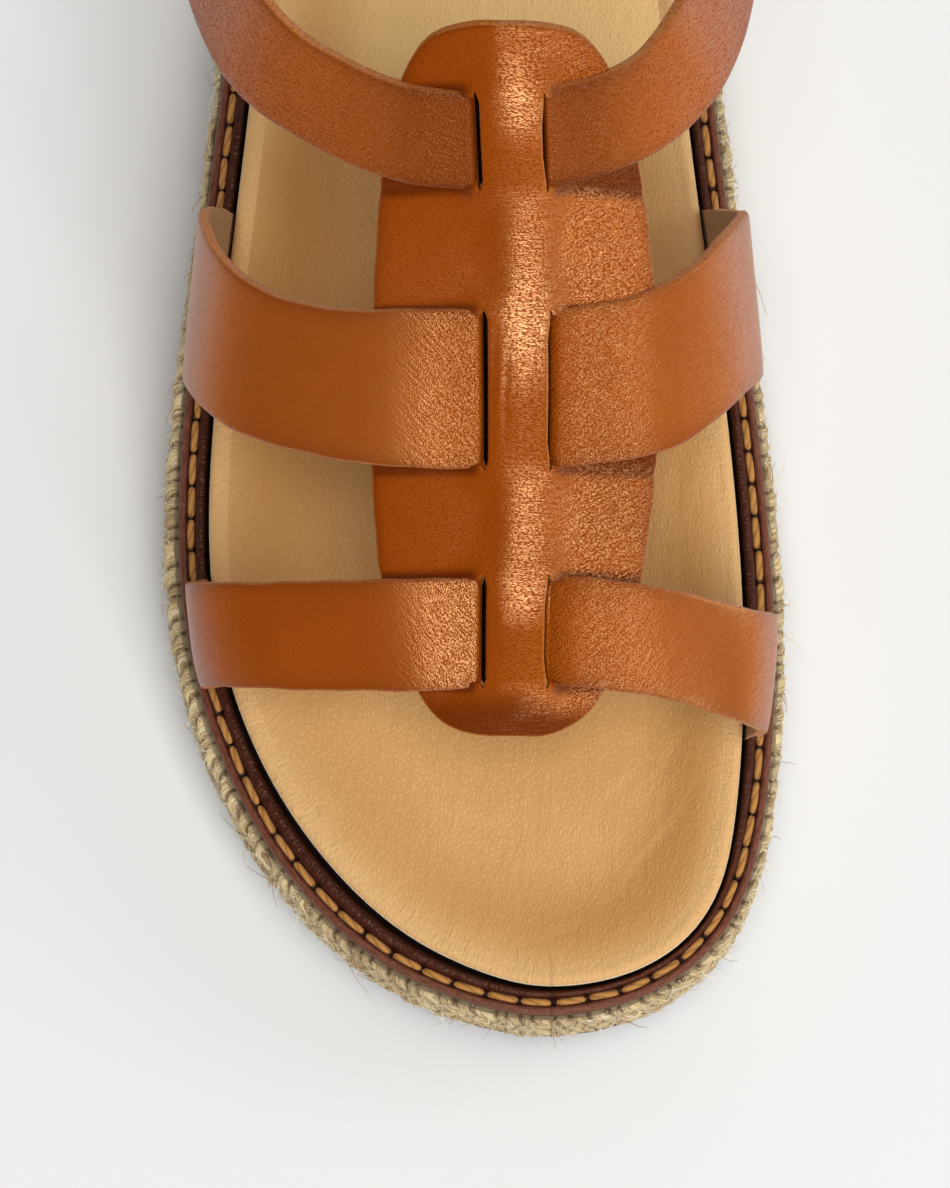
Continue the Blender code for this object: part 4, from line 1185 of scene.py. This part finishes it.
# The sheen-and-shade attribute is a painted map of highlight and shade. It runs from -1, where
# more sheen is laid on, to 1, where the leather is dulled and painted darker. Over each strap the
# plate is dulled and darker at its front and given more sheen at its back.
front_of_band, back_of_band = np.zeros((2, len(plate_y)))
for front, back in BANDS:
    place = (plate_y - front) / (back - front)
    front_part = smooth_step(place, -0.1, 0.1) * (1 - smooth_step(place, 0.35, 0.85))
    back_part = smooth_step(place, 0.45, 0.8) * (1 - smooth_step(place, 0.95, 1.15))
    front_of_band = np.maximum(front_of_band, front_part)
    back_of_band = np.maximum(back_of_band, back_part)
near_tip = 1 - smooth_step(plate_y, PLATE_FRONT + 2.0, PLATE_FRONT + 6.0)
tip_dull = np.maximum(near_tip, 1 - smooth_step(plate_arc, -1.0, 5.0))
tip_dull = tip_dull * (1 - smooth_step(plate_y, TOE_BAND[0] - 2.0, TOE_BAND[0] + 2.0))
on_right = smooth_step(plate_arc, 5.0, 9.0)
plate_dull = np.maximum(1 - smooth_step(plate_arc, -3.5, 0.0), 0.85 * front_of_band)
plate_dull = np.maximum(np.maximum(plate_dull, 0.05 * on_right), tip_dull)
on_ridge = np.exp(-(((plate_arc - 1.8) / 4.2) ** 4))
plate_dull -= on_ridge * (0.08 + 0.5 * back_of_band) * (1 - front_of_band) * (1 - tip_dull)
plate_dull += 0.4 * bell(plate_y, -71.0, 7.0) + 0.4 * smooth_step(plate_y, 5.0, 9.0)
plate_dull -= 0.4 * bell(plate_y, -22.0, 9.0) + 0.25 * on_right * bell(plate_y, -55.0, 8.0)
plate_values = {
    "raw": on_plate(face_cut, 0.0, LOOP_RAWNESS),
    "back": on_plate(0.0, 1.0, 0 * on_loops),
    "rim": on_plate(face_rim, 0.0, on_loops),
    "slant": smooth_step(plate_arc, 4.0, 10.0),
    # tone darkens and smooths the plate's left half: a painted shade where it faces away from the light.
    "tone": 1 - smooth_step(plate_arc, -4.0, 6.0),
    # the plate's inner face over the slits is painted dark, a painted shade under the strips
    "gap": on_plate(0.0, opened[:, None], 0 * on_loops),
    "dull": plate_dull,
}


def upper_leather(name, lay, calm, fineness=3.7):
    """Cognac leather: flat pebbles with fine valleys between, mottled dye, a raw edge, a fleshy back, and the
    painted shade and sheen that its attributes lay on.

    lay holds the direction of the pebbles where the slant attribute is 0 and where it is 1, in
    degrees from the piece's u, and how much shorter than long they are. calm is how far the tone
    attribute smooths the grain, and fineness is how many pebbles fit in a millimetre.
    """
    hide = Finish(name, COGNAC, 0.2, IOR=1.7, Specular_IOR_Level=0.9)
    spot = hide.spot()
    raw, back, rim, slant, tone, gap, dull = (
        hide.attribute(key) for key in ("raw", "back", "rim", "slant", "tone", "gap", "dull")
    )

    def pebbled(angle):
        """The grain laid one way: 1 on a pebble's top and 0 in the valley round it, and its wrinkles."""
        laid = hide.turned(hide.turned(spot, -angle), 0.0, (lay[2], 1.0, 1.0))
        cell_options = {"voronoi_dimensions": "2D", "inputs": {"Smoothness": 0.35}}
        middle = hide.cells(hide.bent(laid, 0.12, 0.8), fineness, "SMOOTH_F1", **cell_options)
        dome = hide.math("SUBTRACT", 1.0, hide.math("POWER", hide.times(middle, 1.6), 2.0), clamp=True)
        return dome, hide.noise(hide.turned(laid, 0.0, (0.35, 1.0, 1.0)), 1.9, 1.0, 0.5)

    smooth = hide.times(tone, calm, clamp=True)
    pebble, wrinkle = (
        hide.between(smooth, hide.between(slant, straight, slanted), calmed)
        for straight, slanted, calmed in zip(pebbled(lay[0]), pebbled(lay[1]), (0.45, 0.5))
    )
    cloud = hide.noise(hide.place(), 32.0, 4.0, 0.6)
    soft = hide.noise(hide.place(), 260.0, 3.0, 0.6)
    fibre = hide.noise(hide.place(), 1900.0, 4.0, 0.7)
    color = linear(COGNAC_DEEP)
    for share, tint in (
        (hide.spread(cloud, 0.36, 0.66), COGNAC),
        (hide.spread(soft, 0.5, 0.8, 0.0, 0.3), COGNAC_LIGHT),
        # the tone attribute darkens; on the plate's left half this is a painted shade
        (hide.times(tone, 0.7), COGNAC_DEEP),
        # the grain's valleys darker: painted shade, together with the duller dye of the grain
        (hide.spread(pebble, 0.0, 0.6, 0.45, 0.0), VALLEY_SHADE_BROWN),
        # painted shade where the map of sheen and shade dulls the leather
        (hide.times(dull, 0.35, clamp=True), PAINTED_SHADE_BROWN),
        # the rim attribute: darker cut edges, with painted shadows beside the straps, at the plate's tip and
        # on the ankle strap near the plate
        (hide.times(rim, 0.6), EDGE_AND_SHADE_BROWN),
    ):
        color = hide.tinted(color, share, tint)
    fibre_share = hide.spread(fibre, 0.3, 0.7)
    color = hide.mixed(raw, color, hide.tinted(linear(CUT_DARK), fibre_share, CUT_EDGE))
    color = hide.mixed(back, color, hide.tinted(linear(FLESH_DARK), fibre_share, FLESH_SIDE))
    # painted shade in the slits and on the straps under the strips
    color = hide.tinted(color, gap, SLIT_SHADE)
    rough = hide.between(hide.math("MAXIMUM", raw, back), hide.spread(pebble, 0.0, 0.6, 0.44, 0.3), 0.85)
    depth = hide.times(hide.spread(tone, 0.0, 1.0, 0.9, 0.35), hide.spread(slant, 0.4, 1.0, 1.0, 1.3))
    bump = hide.bump(wrinkle, 0.00022, depth)
    bump = hide.bump(pebble, 0.00023 / fineness, depth, bump)
    bump = hide.bump(fibre, 0.00001, 0.6, bump)
    glancing = hide.spread(hide.add("LayerWeight", {"Blend": 0.5}, 1), 0.25, 0.5)
    shine = hide.mixed(glancing, (1.0, 0.53, 0.24, 1.0), (1.0, 0.84, 0.7, 1.0))
    # The specular level follows the grain's tops and a painted map of sheen and shade, and it is lowered in
    # the painted slit shade.
    specular_level = hide.times(hide.spread(pebble, 0.0, 0.6, 0.2, 1.3), hide.spread(wrinkle, 0.36, 0.64, 0.5, 1.4))
    for dimming in (hide.spread(dull, -1.0, 1.0, 2.0, 0.1), hide.spread(gap, 0.0, 1.0, 1.0, 0.1)):
        specular_level = hide.times(specular_level, dimming)
    shine_sockets = {"Specular_Tint": shine, "Specular_IOR_Level": specular_level}
    return hide.finish(Base_Color=color, Roughness=rough, Normal=bump, **shine_sockets)


plate_leather = upper_leather("plate_leather", (0.0, 38.0, 0.5), 0.1)
kept, faces = np.unique(faces, return_inverse=True)
faces = [list(dict.fromkeys(face)) for face in faces.reshape(-1, 4).tolist()]
make_piece(
    "instep_plate",
    points[kept],
    [face for face in faces if len(face) > 2],
    plate_leather,
    {key: numbers[kept] for key, numbers in plate_values.items()},
    np.stack([plate_arc, plate_y * 1.25], -1)[kept],
    "upper",
)

# ---- toe and ball straps ----
# Two strips of the same leather over the toes and over the ball of the foot. Each goes through the
# plate's slits, lies on the plate's wings, and goes down beside the footbed, skived thin there.

SKIVED = 0.9
STRAP_END, SLIT_DEPTH, LEFT_SAG = 1.4, 0.9, 0.28
EDGE_CROWN = 0.16  # how far a strip's outer face rounds down at its edges
EDGE_WAVER, FACE_WAVER = 0.09, 0.05  # how far a cut edge and a face are off true
TOE_STRAP = (
    # angle from the little-toe side over the crest, y of the front edge, y of the back edge
    (0, -73.8, -55.5),
    (27, -76.0, -60.0),
    (45, -78.0, -62.0),
    (60, -79.4, -63.0),
    (90, -79.3, -63.1),
    (105, -79.3, -63.2),
    (120, -81.0, -64.7),
    (135, -83.4, -66.2),
    (155, -83.6, -65.0),
    (180, -83.0, -62.0),
)
BALL_STRAP = (
    # angle, y of the front edge, y of the back edge
    (0, -23.0, 5.5),
    (20, -26.5, 0.5),
    (35, -31.0, -6.0),
    (45, -36.8, -13.0),
    (60, -43.4, -21.0),
    (75, -46.4, -22.9),
    (90, -46.8, -23.4),
    (105, -45.8, -22.2),
    (120, -41.7, -17.2),
    (135, -32.8, -8.3),
    (155, -27.0, -1.4),
    (180, -21.0, 6.5),
)
TOE_CREASES = (
    # arc, y of the start, arc, y of the end, bow, width, depth
    (-30.0, -74.0, -22.0, -69.0, 0.6, 0.9, 0.05),
    (24.0, -77.0, 33.0, -72.0, 0.8, 0.9, 0.05),
    (9.0, -76.0, 15.0, -70.0, 0.5, 0.8, 0.05),
)
BALL_CREASES = (
    (-34.0, -38.0, -26.0, -31.0, 0.6, 1.0, 0.05),
    (14.0, -42.0, 22.0, -34.0, 0.7, 0.9, 0.05),
    (-16.0, -40.0, -9.0, -34.0, 0.5, 0.9, 0.05),
    (38.0, -30.0, 46.0, -20.0, 0.8, 1.0, 0.05),
)


def strip_ring(outer_columns, inner_columns):
    """The closed profile round a strip, as rows of one number for each point.

    They are the side from -1 to 1, the inset, the share of the thickness, the drop, raw and back.
    """
    face = [(c, ARRIS, 1, 0, 0, 0) for c in np.linspace(-1, 1, outer_columns)]
    arris = [
        (1, ARRIS * (1 - math.sin(a)), 1, ARRIS * (1 - math.cos(a)), raw, 0)
        for a, raw in zip(bent[1:], (0.2, 0.6, 0.9, 1.0))
    ]
    cut = [(1, 0, 0.5, 0.0, 1, 0), (1, 0, 0.25, 0.0, 1, 0), (1, 0.02, 0.1, 0, 1, 0.3)]
    lining = [(c, INNER_INSET, 0, 0, 0, 1) for c in np.linspace(1, -1, inner_columns)]
    mirrored = [(-c, *others) for c, *others in (arris + cut)[::-1]]
    ring = np.array(face + arris + cut + lining + mirrored).T
    return ring[:, None, :]


def skived(rise):
    """A strip's thickness: thin beside the footbed, full from 10 mm above the midsole."""
    return SKIVED + (LEATHER - SKIVED) * smooth_step(rise, 4.0, 10.0)


def edge_crown(from_edge, thickness):
    """How far a strip's outer face falls towards its edges, as an exponential of the distance."""
    return EDGE_CROWN * np.exp(-from_edge / 0.9) * (thickness > 0)


def strip_values(raw, fleshy, from_edge, slant, tone, shaded=0.0, **others):
    """A strip's attributes. Its dark rim fades out within a millimetre or two of its edges, and shaded adds
    painted shade to it.
    """
    rim = (np.exp(-from_edge) + shaded) * (1 - fleshy)
    values = {"raw": raw, "back": fleshy, "rim": rim, "slant": slant, "tone": tone, **others}
    return {key: np.broadcast_to(numbers, from_edge.shape) for key, numbers in values.items()}


def open_tube_faces(rows, columns):
    """Faces round a tube of rings, and one face at each of its ends."""
    ends = [list(range(columns)), list(range((rows - 1) * columns, rows * columns))[::-1]]
    return grid_faces(rows, columns, close_columns=True).tolist() + ends


def strap_lift(y, arc, end_right=1.5):
    """How high a strap's inner face lies over the foot: on the plate, under its bridge, and beside it."""
    on_right = arc > 0
    into = np.abs(arc) - (BRIDGE_HALF + np.where(on_right, -0.9, 0.0))
    into = np.clip(into / np.where(on_right, end_right, STRAP_END), 0, 1)
    over = np.where(on_right, np.sin(np.pi / 2 * into), np.sqrt(1 - (1 - into) ** 2))
    sag = smooth_step(np.abs(arc), BRIDGE_HALF - 1.0, BRIDGE_HALF + 10.0)
    over = over - LEFT_SAG * (arc < 0) * (1 - sag)
    plate_edge = plate_half(y)
    beside = smooth_step(abs(arc - plate_offset(y)), plate_edge - 5.0, plate_edge + 17.0)
    return (LEATHER - BED_IN + SLIT_DEPTH) * over * (1 - beside) - SLIT_DEPTH * (1 - beside)


def strap_turns(table, sparse, close):
    """Turns along a strap: even lengths of its middle line, with more of them beside the slits."""
    sweep = np.linspace(0, 180, 1441)
    middle = (read_along(table, 1, sweep) + read_along(table, 2, sweep)) / 2
    length = running_length(last_point(middle, sweep))
    length -= np.interp(90, sweep, length)
    beside = np.linspace(BRIDGE_HALF - 0.6, BRIDGE_HALF + 2.6, close)
    places = np.concatenate([np.linspace(length[0], length[-1], sparse), beside, -beside])
    places = np.unique(np.round(places, 2))
    kept = places[np.concatenate([[True], np.diff(places) > 0.07])]
    kept[-1] = length[-1]
    return np.interp(kept, length, sweep), kept


def slit_shade(arc):
    """1 on a strap's part below the plate's strip, 0 on the part that is out of the slit: the share of
    painted shade laid on it under the strip.
    """
    start, end = np.where(arc > 0, -0.3, 0.2), np.where(arc > 0, 0.5, 0.75)
    return 1 - smooth_step(np.abs(arc), BRIDGE_HALF + start, BRIDGE_HALF + end)


def strap_dull(arc, end_right, left_end, sheen_from):
    """Painted shade and sheen on a strap: dulled and darker where it rises from the right slit, then given
    painted sheen; duller far left.
    """
    risen = smooth_step(arc, end_right + 2.2, end_right + 7.5)
    right = 0.9 - 0.75 * risen - 0.8 * smooth_step(arc, sheen_from, sheen_from + 12.0)
    left = left_end * (smooth_step(-arc, 12.0, 24.0) - 1 + smooth_step(-arc, 8.0, 16.0))
    return np.where(arc > 0, right, left)


def make_strap(name, table, creases, corners, end_right, belly, left_end, sheen_from, seed):
    """A strap as a closed profile carried over the foot's form from one side of the footbed to the other.

    corners are the radii with which its front and back edges narrow into the slits, end_right how
    far it takes to rise out of the right one, and belly how far its front edge stands out, low on
    the little toe's side. left_end says how far painted shade dulls its left part, and the argument
    after it from which arc on its right painted sheen is laid on.
    """
    turns, places = strap_turns(table, 270, 26)
    span = places[-1] - places[0]
    front = read_along(table, 1, turns) + EDGE_WAVER * wandering(places, seed, (9, 17, 37), span)
    back = read_along(table, 2, turns) + EDGE_WAVER * wandering(places, seed + 1, (8, 15, 33), span)
    for edge, radius, sign in ((front, corners[0], 1), (back, corners[1], -1)):
        beyond = np.abs(arc_at_angle(edge, turns)) - BRIDGE_HALF
        near = np.clip(1 - (beyond - 0.3) / radius, 0, 1)
        edge += sign * radius * (1 - np.sqrt(1 - near**2)) * 0.9 * smooth_step(beyond, 0.0, 0.3)
    side, inset, thickness, drop, raw, fleshy = strip_ring(44, 22)
    half_width = (back - front)[:, None] / 2
    v = side * (1 - inset / half_width)
    y = (front + back)[:, None] / 2 + v * half_width
    angle = np.repeat(turns[:, None], y.shape[1], 1)
    base, normal = last_point(y, angle), last_normal(y, angle)
    arc = arc_at_angle(y, angle)
    rise = base[..., 2] - midsole_top(y)
    from_edge = half_width * (1 - np.abs(v))
    height = strap_lift(y, arc, end_right) + skived(rise) * thickness - drop
    height -= edge_crown(from_edge, thickness)
    low_left = bell(rise, 9.0, 6.5) * (angle < 90)
    height += belly * low_left * smooth_step(-y, -table[0][2], -table[0][1])
    uneven = FACE_WAVER * wandering(arc + 0.4 * y, seed + 2, (21, 34), 160)
    height += (thickness > 0.9) * (creased(arc, y, creases) + uneven)
    values = strip_values(
        raw,
        fleshy,
        from_edge,
        smooth_step(arc, -4.0, 4.0),
        smooth_step(-arc, 8.0, 22.0) * 0.85 + smooth_step(arc, 13.0, 27.0) * 0.75,
        gap=slit_shade(arc),
        dull=strap_dull(arc, end_right, left_end, sheen_from),
    )
    points, faces = base + height[..., None] * normal, open_tube_faces(*y.shape)
    uv = np.stack([arc, y * 1.2], -1)
    make_piece(name, points, faces, strap_leather, values, uv, "upper")


strap_leather = upper_leather("strap_leather", (-52.0, 48.0, 0.68), 0.9)
make_strap("toe_strap", TOE_STRAP, TOE_CREASES, (1.5, 1.9), 5.4, 1.6, 0.6, 20.0, 41)
make_strap("ball_strap", BALL_STRAP, BALL_CREASES, (1.4, 1.4), 2.6, 0.0, -0.25, 28.0, 51)

# ---- ankle strap ----
# The third strap crosses the plate near its back end, like the other two, and its ends run on
# round the ankle as one band, sewn to the heel counter.

ANKLE_STRAP = (
    # angle from the instep by the big-toe side, x, y, z, how far the upper edge leans in
    (0, 5.7, 0.3, 89.0, 52.0),
    (25, 20.5, 3.5, 87.0, 50.0),
    (45, 31.0, 10.6, 86.8, 44.0),
    (62, 37.0, 21.8, 83.3, 36.0),
    (90, 42.0, 46.0, 77.3, 18.0),
    (120, 38.8, 76.0, 74.2, 9.0),
    (150, 26.5, 104.0, 74.8, 6.0),
    (180, -1.2, 117.0, 76.0, 5.0),
    (210, -28.5, 104.0, 74.8, 6.0),
    (240, -40.6, 76.0, 74.2, 9.0),
    (270, -44.0, 46.0, 77.3, 18.0),
    (298, -37.3, 21.2, 83.3, 36.0),
    (315, -29.0, 10.8, 86.8, 44.0),
    (335, -13.0, 2.4, 87.5, 50.0),
)
ANKLE_HALF = 8.1
ANKLE_ON_FOOT, ANKLE_FREE = 38.0, 68.0  # angles between which it leaves the foot's form
ANKLE_WAVER = 0.06
SLIT_ANGLES = (8.9, 351.1)
UPWARDS = np.array([0, 0, 1.0])


def ankle_line(angle):
    """The ankle strap's middle line and the lean of its upper edge, in degrees."""
    x, y, z, lean = (read_round(ANKLE_STRAP, index, angle) for index in (1, 2, 3, 4))
    return np.stack([x, y, z], -1), lean


def ankle_surface(angle, across):
    """Points of the ankle strap's inner face and its normal; across runs from -1, its lower edge, to 1."""
    line, lean = ankle_line(angle)
    along = unit(ankle_line(angle + 0.5)[0] - ankle_line(angle - 0.5)[0])
    inwards = unit(np.cross(UPWARDS, along))
    tilt = np.radians(lean)[:, None]
    up = np.cos(tilt) * UPWARDS + np.sin(tilt) * inwards
    up = unit(up - (up * along).sum(-1, keepdims=True) * along)
    points = line[:, None] + across[..., None] * ANKLE_HALF * up[:, None]
    return points, np.broadcast_to(unit(np.cross(along, up))[:, None], points.shape)


def on_the_last(points):
    """Each point moved straight up or down on to the foot's form, its normal and its arc length."""
    x, y = points[..., 0], points[..., 1]
    start = np.full(x.shape, 25.0)
    angle = halved(start, 180 - start, lambda angle: last_point(y, angle)[..., 0] < x, 26)
    return last_point(y, angle), last_normal(y, angle), arc_at_angle(y, angle)


close_by = np.linspace(-3.2, 3.2, 26)  # more turns where it comes out of its slits
ankle_angle = np.concatenate([np.arange(0, 360, 0.9), *(slit + close_by for slit in SLIT_ANGLES)])
ankle_angle = np.unique(np.round(np.mod(ankle_angle, 360), 2))
side, inset, thickness, drop, raw, fleshy = strip_ring(36, 18)
across = np.repeat(side * (1 - inset / ANKLE_HALF), len(ankle_angle), 0)
free, free_normal = ankle_surface(ankle_angle, across)
free_normal = free_normal * np.sign((free_normal * (free - free.mean(axis=(0, 1)))).sum(-1).mean())
moved, moved_normal, ankle_arc = on_the_last(free)
from_front = np.abs(np.mod(ankle_angle + 180, 360) - 180)
weight = (1 - smooth_step(from_front, ANKLE_ON_FOOT, ANKLE_FREE))[:, None]
base = free.copy()
base[..., 2] += weight * np.clip(moved[..., 2] - free[..., 2], -1.5, 4.0)
normal = unit(free_normal * (1 - weight[..., None]) + weight[..., None] * moved_normal)
from_edge = (1 - np.abs(across)) * ANKLE_HALF
height = strap_lift(base[..., 1], ankle_arc) * weight + LEATHER * thickness - drop
height -= edge_crown(from_edge, thickness)
height += (thickness > 0.9) * ANKLE_WAVER * wandering(ankle_angle, 63, (14, 27, 60), 360)[:, None]
near_plate = 1 - smooth_step(np.abs(ankle_arc), 10.0, 26.0)
ankle_length = running_length(ankle_line(ankle_angle)[0])[:, None]
make_piece(
    "ankle_strap",
    base + height[..., None] * normal,
    grid_faces(*across.shape, True, True),
    upper_leather("ankle_leather", (-20.0, 48.0, 0.8), 0.3, 3.0),
    strip_values(
        raw,
        fleshy,
        from_edge,
        0.35,
        0.25,
        # painted shade on the ankle strap where it nears the plate, which is also dulled there
        0.9 * near_plate * weight,
        gap=slit_shade(ankle_arc) * (weight > 0.9),
        dull=np.maximum(0.8 * near_plate, 0.3),
    ),
    np.stack(np.broadcast_arrays(ankle_length, across * ANKLE_HALF), -1),
    "upper",
)

# ---- heel counter ----
# A plain wall of the same leather round the heel, from the footbed's edge up to the inside of the
# ankle strap. Its front edges slope back as they rise.

COUNTER_FOOT_ANGLE, COUNTER_TOP_ANGLE = 118.0, 140.0
COUNTER_SWELL, COUNTER_LAP = 2.5, 0.25
COUNTER_UPRIGHT = 4.5  # the height of its lowest part, which stands straight
HEEL_RADIUS = 45.0
HEEL_MIDDLE = np.array([-1.2, 70.0])
COUNTER_PARTS = ((0, 0.07), (0.07, 0.82), (0.82, 1))  # shares of its height: upright, free, lapped
LAP_TO = 0.6  # how far up the strap its top edge lies, from -1 to 1

side, inset, thickness, drop, raw, fleshy = strip_ring(120, 60)
rise = np.linspace(0, 1, 130)[:, None]
half_turn = 180 - COUNTER_FOOT_ANGLE - (COUNTER_TOP_ANGLE - COUNTER_FOOT_ANGLE) * rise**0.8
half_span = np.radians(half_turn) * HEEL_RADIUS
v = side * (1 - inset / half_span)
counter_angle = 180 + v * half_turn
first, second, third = (
    np.clip((rise - start) / (end - start), 0, 1)[..., None]
    for start, end in COUNTER_PARTS
)


def behind_strap(angle, across):
    """Points of the wall's inner face at the ankle strap, set inwards so that the strap laps it."""
    rows = [ankle_surface(row, np.full((len(row), 1), across))[0][:, 0] for row in angle]
    points = np.stack(rows)
    away = unit(points[..., :2] - HEEL_MIDDLE)
    points[..., :2] -= (LEATHER - BED_IN + COUNTER_LAP) * away
    return points, away


def counter_wall(angle):
    """The wall's inner face: straight up from the footbed's edge, swelling up to the strap, and behind it."""
    foot = outline(FEATHER * np.ones(angle.shape), angle)
    low = raised(foot, midsole_top(foot[..., 1]) + 2 * GAP)
    upright = low + COUNTER_UPRIGHT * UPWARDS
    strap_low, away = behind_strap(angle, -1.0)
    strap_high, _ = behind_strap(angle, LAP_TO)
    wall = low + (upright - low) * first + (strap_low - upright) * second + (strap_high - strap_low) * third
    wall[..., :2] += away * COUNTER_SWELL * np.sin(np.pi * second)
    return wall


wall = counter_wall(counter_angle)
sideways = counter_wall(counter_angle + 0.3) - counter_wall(counter_angle - 0.3)
wall_normal = unit(np.cross(sideways, np.gradient(wall, axis=0)))
wall_normal *= np.sign((wall_normal[..., :2] * (wall[..., :2] - HEEL_MIDDLE)).sum(-1).mean())
over_midsole = wall[..., 2] - midsole_top(wall[..., 1])
from_edge = half_span * (1 - np.abs(v))
height = skived(over_midsole) * thickness - drop - edge_crown(from_edge, thickness)
make_piece(
    "heel_counter",
    wall + height[..., None] * wall_normal,
    open_tube_faces(*v.shape),
    strap_leather,
    strip_values(raw, fleshy, from_edge, 0.35, 0.25),
    np.stack([v * half_span, over_midsole], -1),
    "upper",
)

# ---- floor, light and camera ----
# The sandal stands empty on plain pale paper, under a long soft light high up in front of it, with
# a small one at its big toe's side. The room is bright at its walls, most of all behind the heel,
# and dim overhead. The sandal is seen from above and a little in front of the toe.

PAPER = (244, 244, 243)
WALL_LIGHT, CEILING_LIGHT, HEEL_LIGHT = 0.75, 0.05, 0.4
DARK_SIDE, BRIGHT_SIDE = 0.85, 1.15
CAMERA_DISTANCE, CAMERA_TILT, CAMERA_LENS = 1.2, 12.5, 222.9
CAMERA_TARGET = (0.0, -0.0599, 0.028)
FLOOR_HALF = 4.0

floor = bpy.data.meshes.new("floor")
floor_corners = [(x * FLOOR_HALF, y * FLOOR_HALF, 0) for x, y in ((-1, -1), (1, -1), (1, 1), (-1, 1))]
floor.from_pydata(floor_corners, [], [(0, 1, 2, 3)])
floor.materials.append(Finish("floor_paper", PAPER, 0.9, Specular_IOR_Level=0.1).material)
floor_piece = bpy.data.objects.new("floor", floor)
bpy.context.scene.collection.objects.link(floor_piece)

world = bpy.data.worlds.new("studio")
world.use_nodes = True
sky = Nodes(world.node_tree)
facing = sky.add("TexCoord")
sky_x, sky_y, sky_z = (sky.add("SeparateXYZ", {0: facing}, axis) for axis in range(3))
walls = sky.spread(sky_z, 0.0, 0.38, WALL_LIGHT, CEILING_LIGHT)
right_side = sky.spread(sky_x, -1.0, 1.0, DARK_SIDE, BRIGHT_SIDE)
heel_side = sky.spread(sky_y, 0.1, 0.7, 0.0, HEEL_LIGHT)
brightness = sky.math("MULTIPLY_ADD", walls, right_side, heel_side)
sky.set(sky.tree.nodes["Background"], {"Color": (1.0, 1.0, 1.0, 1.0), "Strength": brightness})
bpy.context.scene.world = world


def softbox(name, place, aim, width, length, power):
    """A rectangular white area light at a place in metres, turned to face a point."""
    light = bpy.data.lights.new(name, "AREA")
    light.shape = "RECTANGLE"
    light.size, light.size_y = width, length
    light.energy = power
    lamp = bpy.data.objects.new(name, light)
    lamp.location = place
    lamp.rotation_euler = (Vector(place) - Vector(aim)).to_track_quat("Z", "Y").to_euler()
    bpy.context.scene.collection.objects.link(lamp)


softbox("overhead_softbox", (0.5, -1.46, 2.81), (0.0, -0.06, 0.03), 1.72, 3.85, 103.0)
softbox("side_softbox", (1.0, 0.1, 0.55), (0.0, 0.0, 0.0), 0.6, 0.6, 2.3)

lens = bpy.data.cameras.new("camera")
lens.lens = CAMERA_LENS
camera = bpy.data.objects.new("camera", lens)
tilt = math.radians(CAMERA_TILT)
back_off = Vector((0.0, -math.sin(tilt), math.cos(tilt))) * CAMERA_DISTANCE
camera.location = Vector(CAMERA_TARGET) + back_off
camera.rotation_euler = (tilt, 0.0, 0.0)
bpy.context.scene.collection.objects.link(camera)
bpy.context.scene.camera = camera
bpy.context.scene.view_settings.view_transform = "Standard"

bpy.context.view_layer.update()
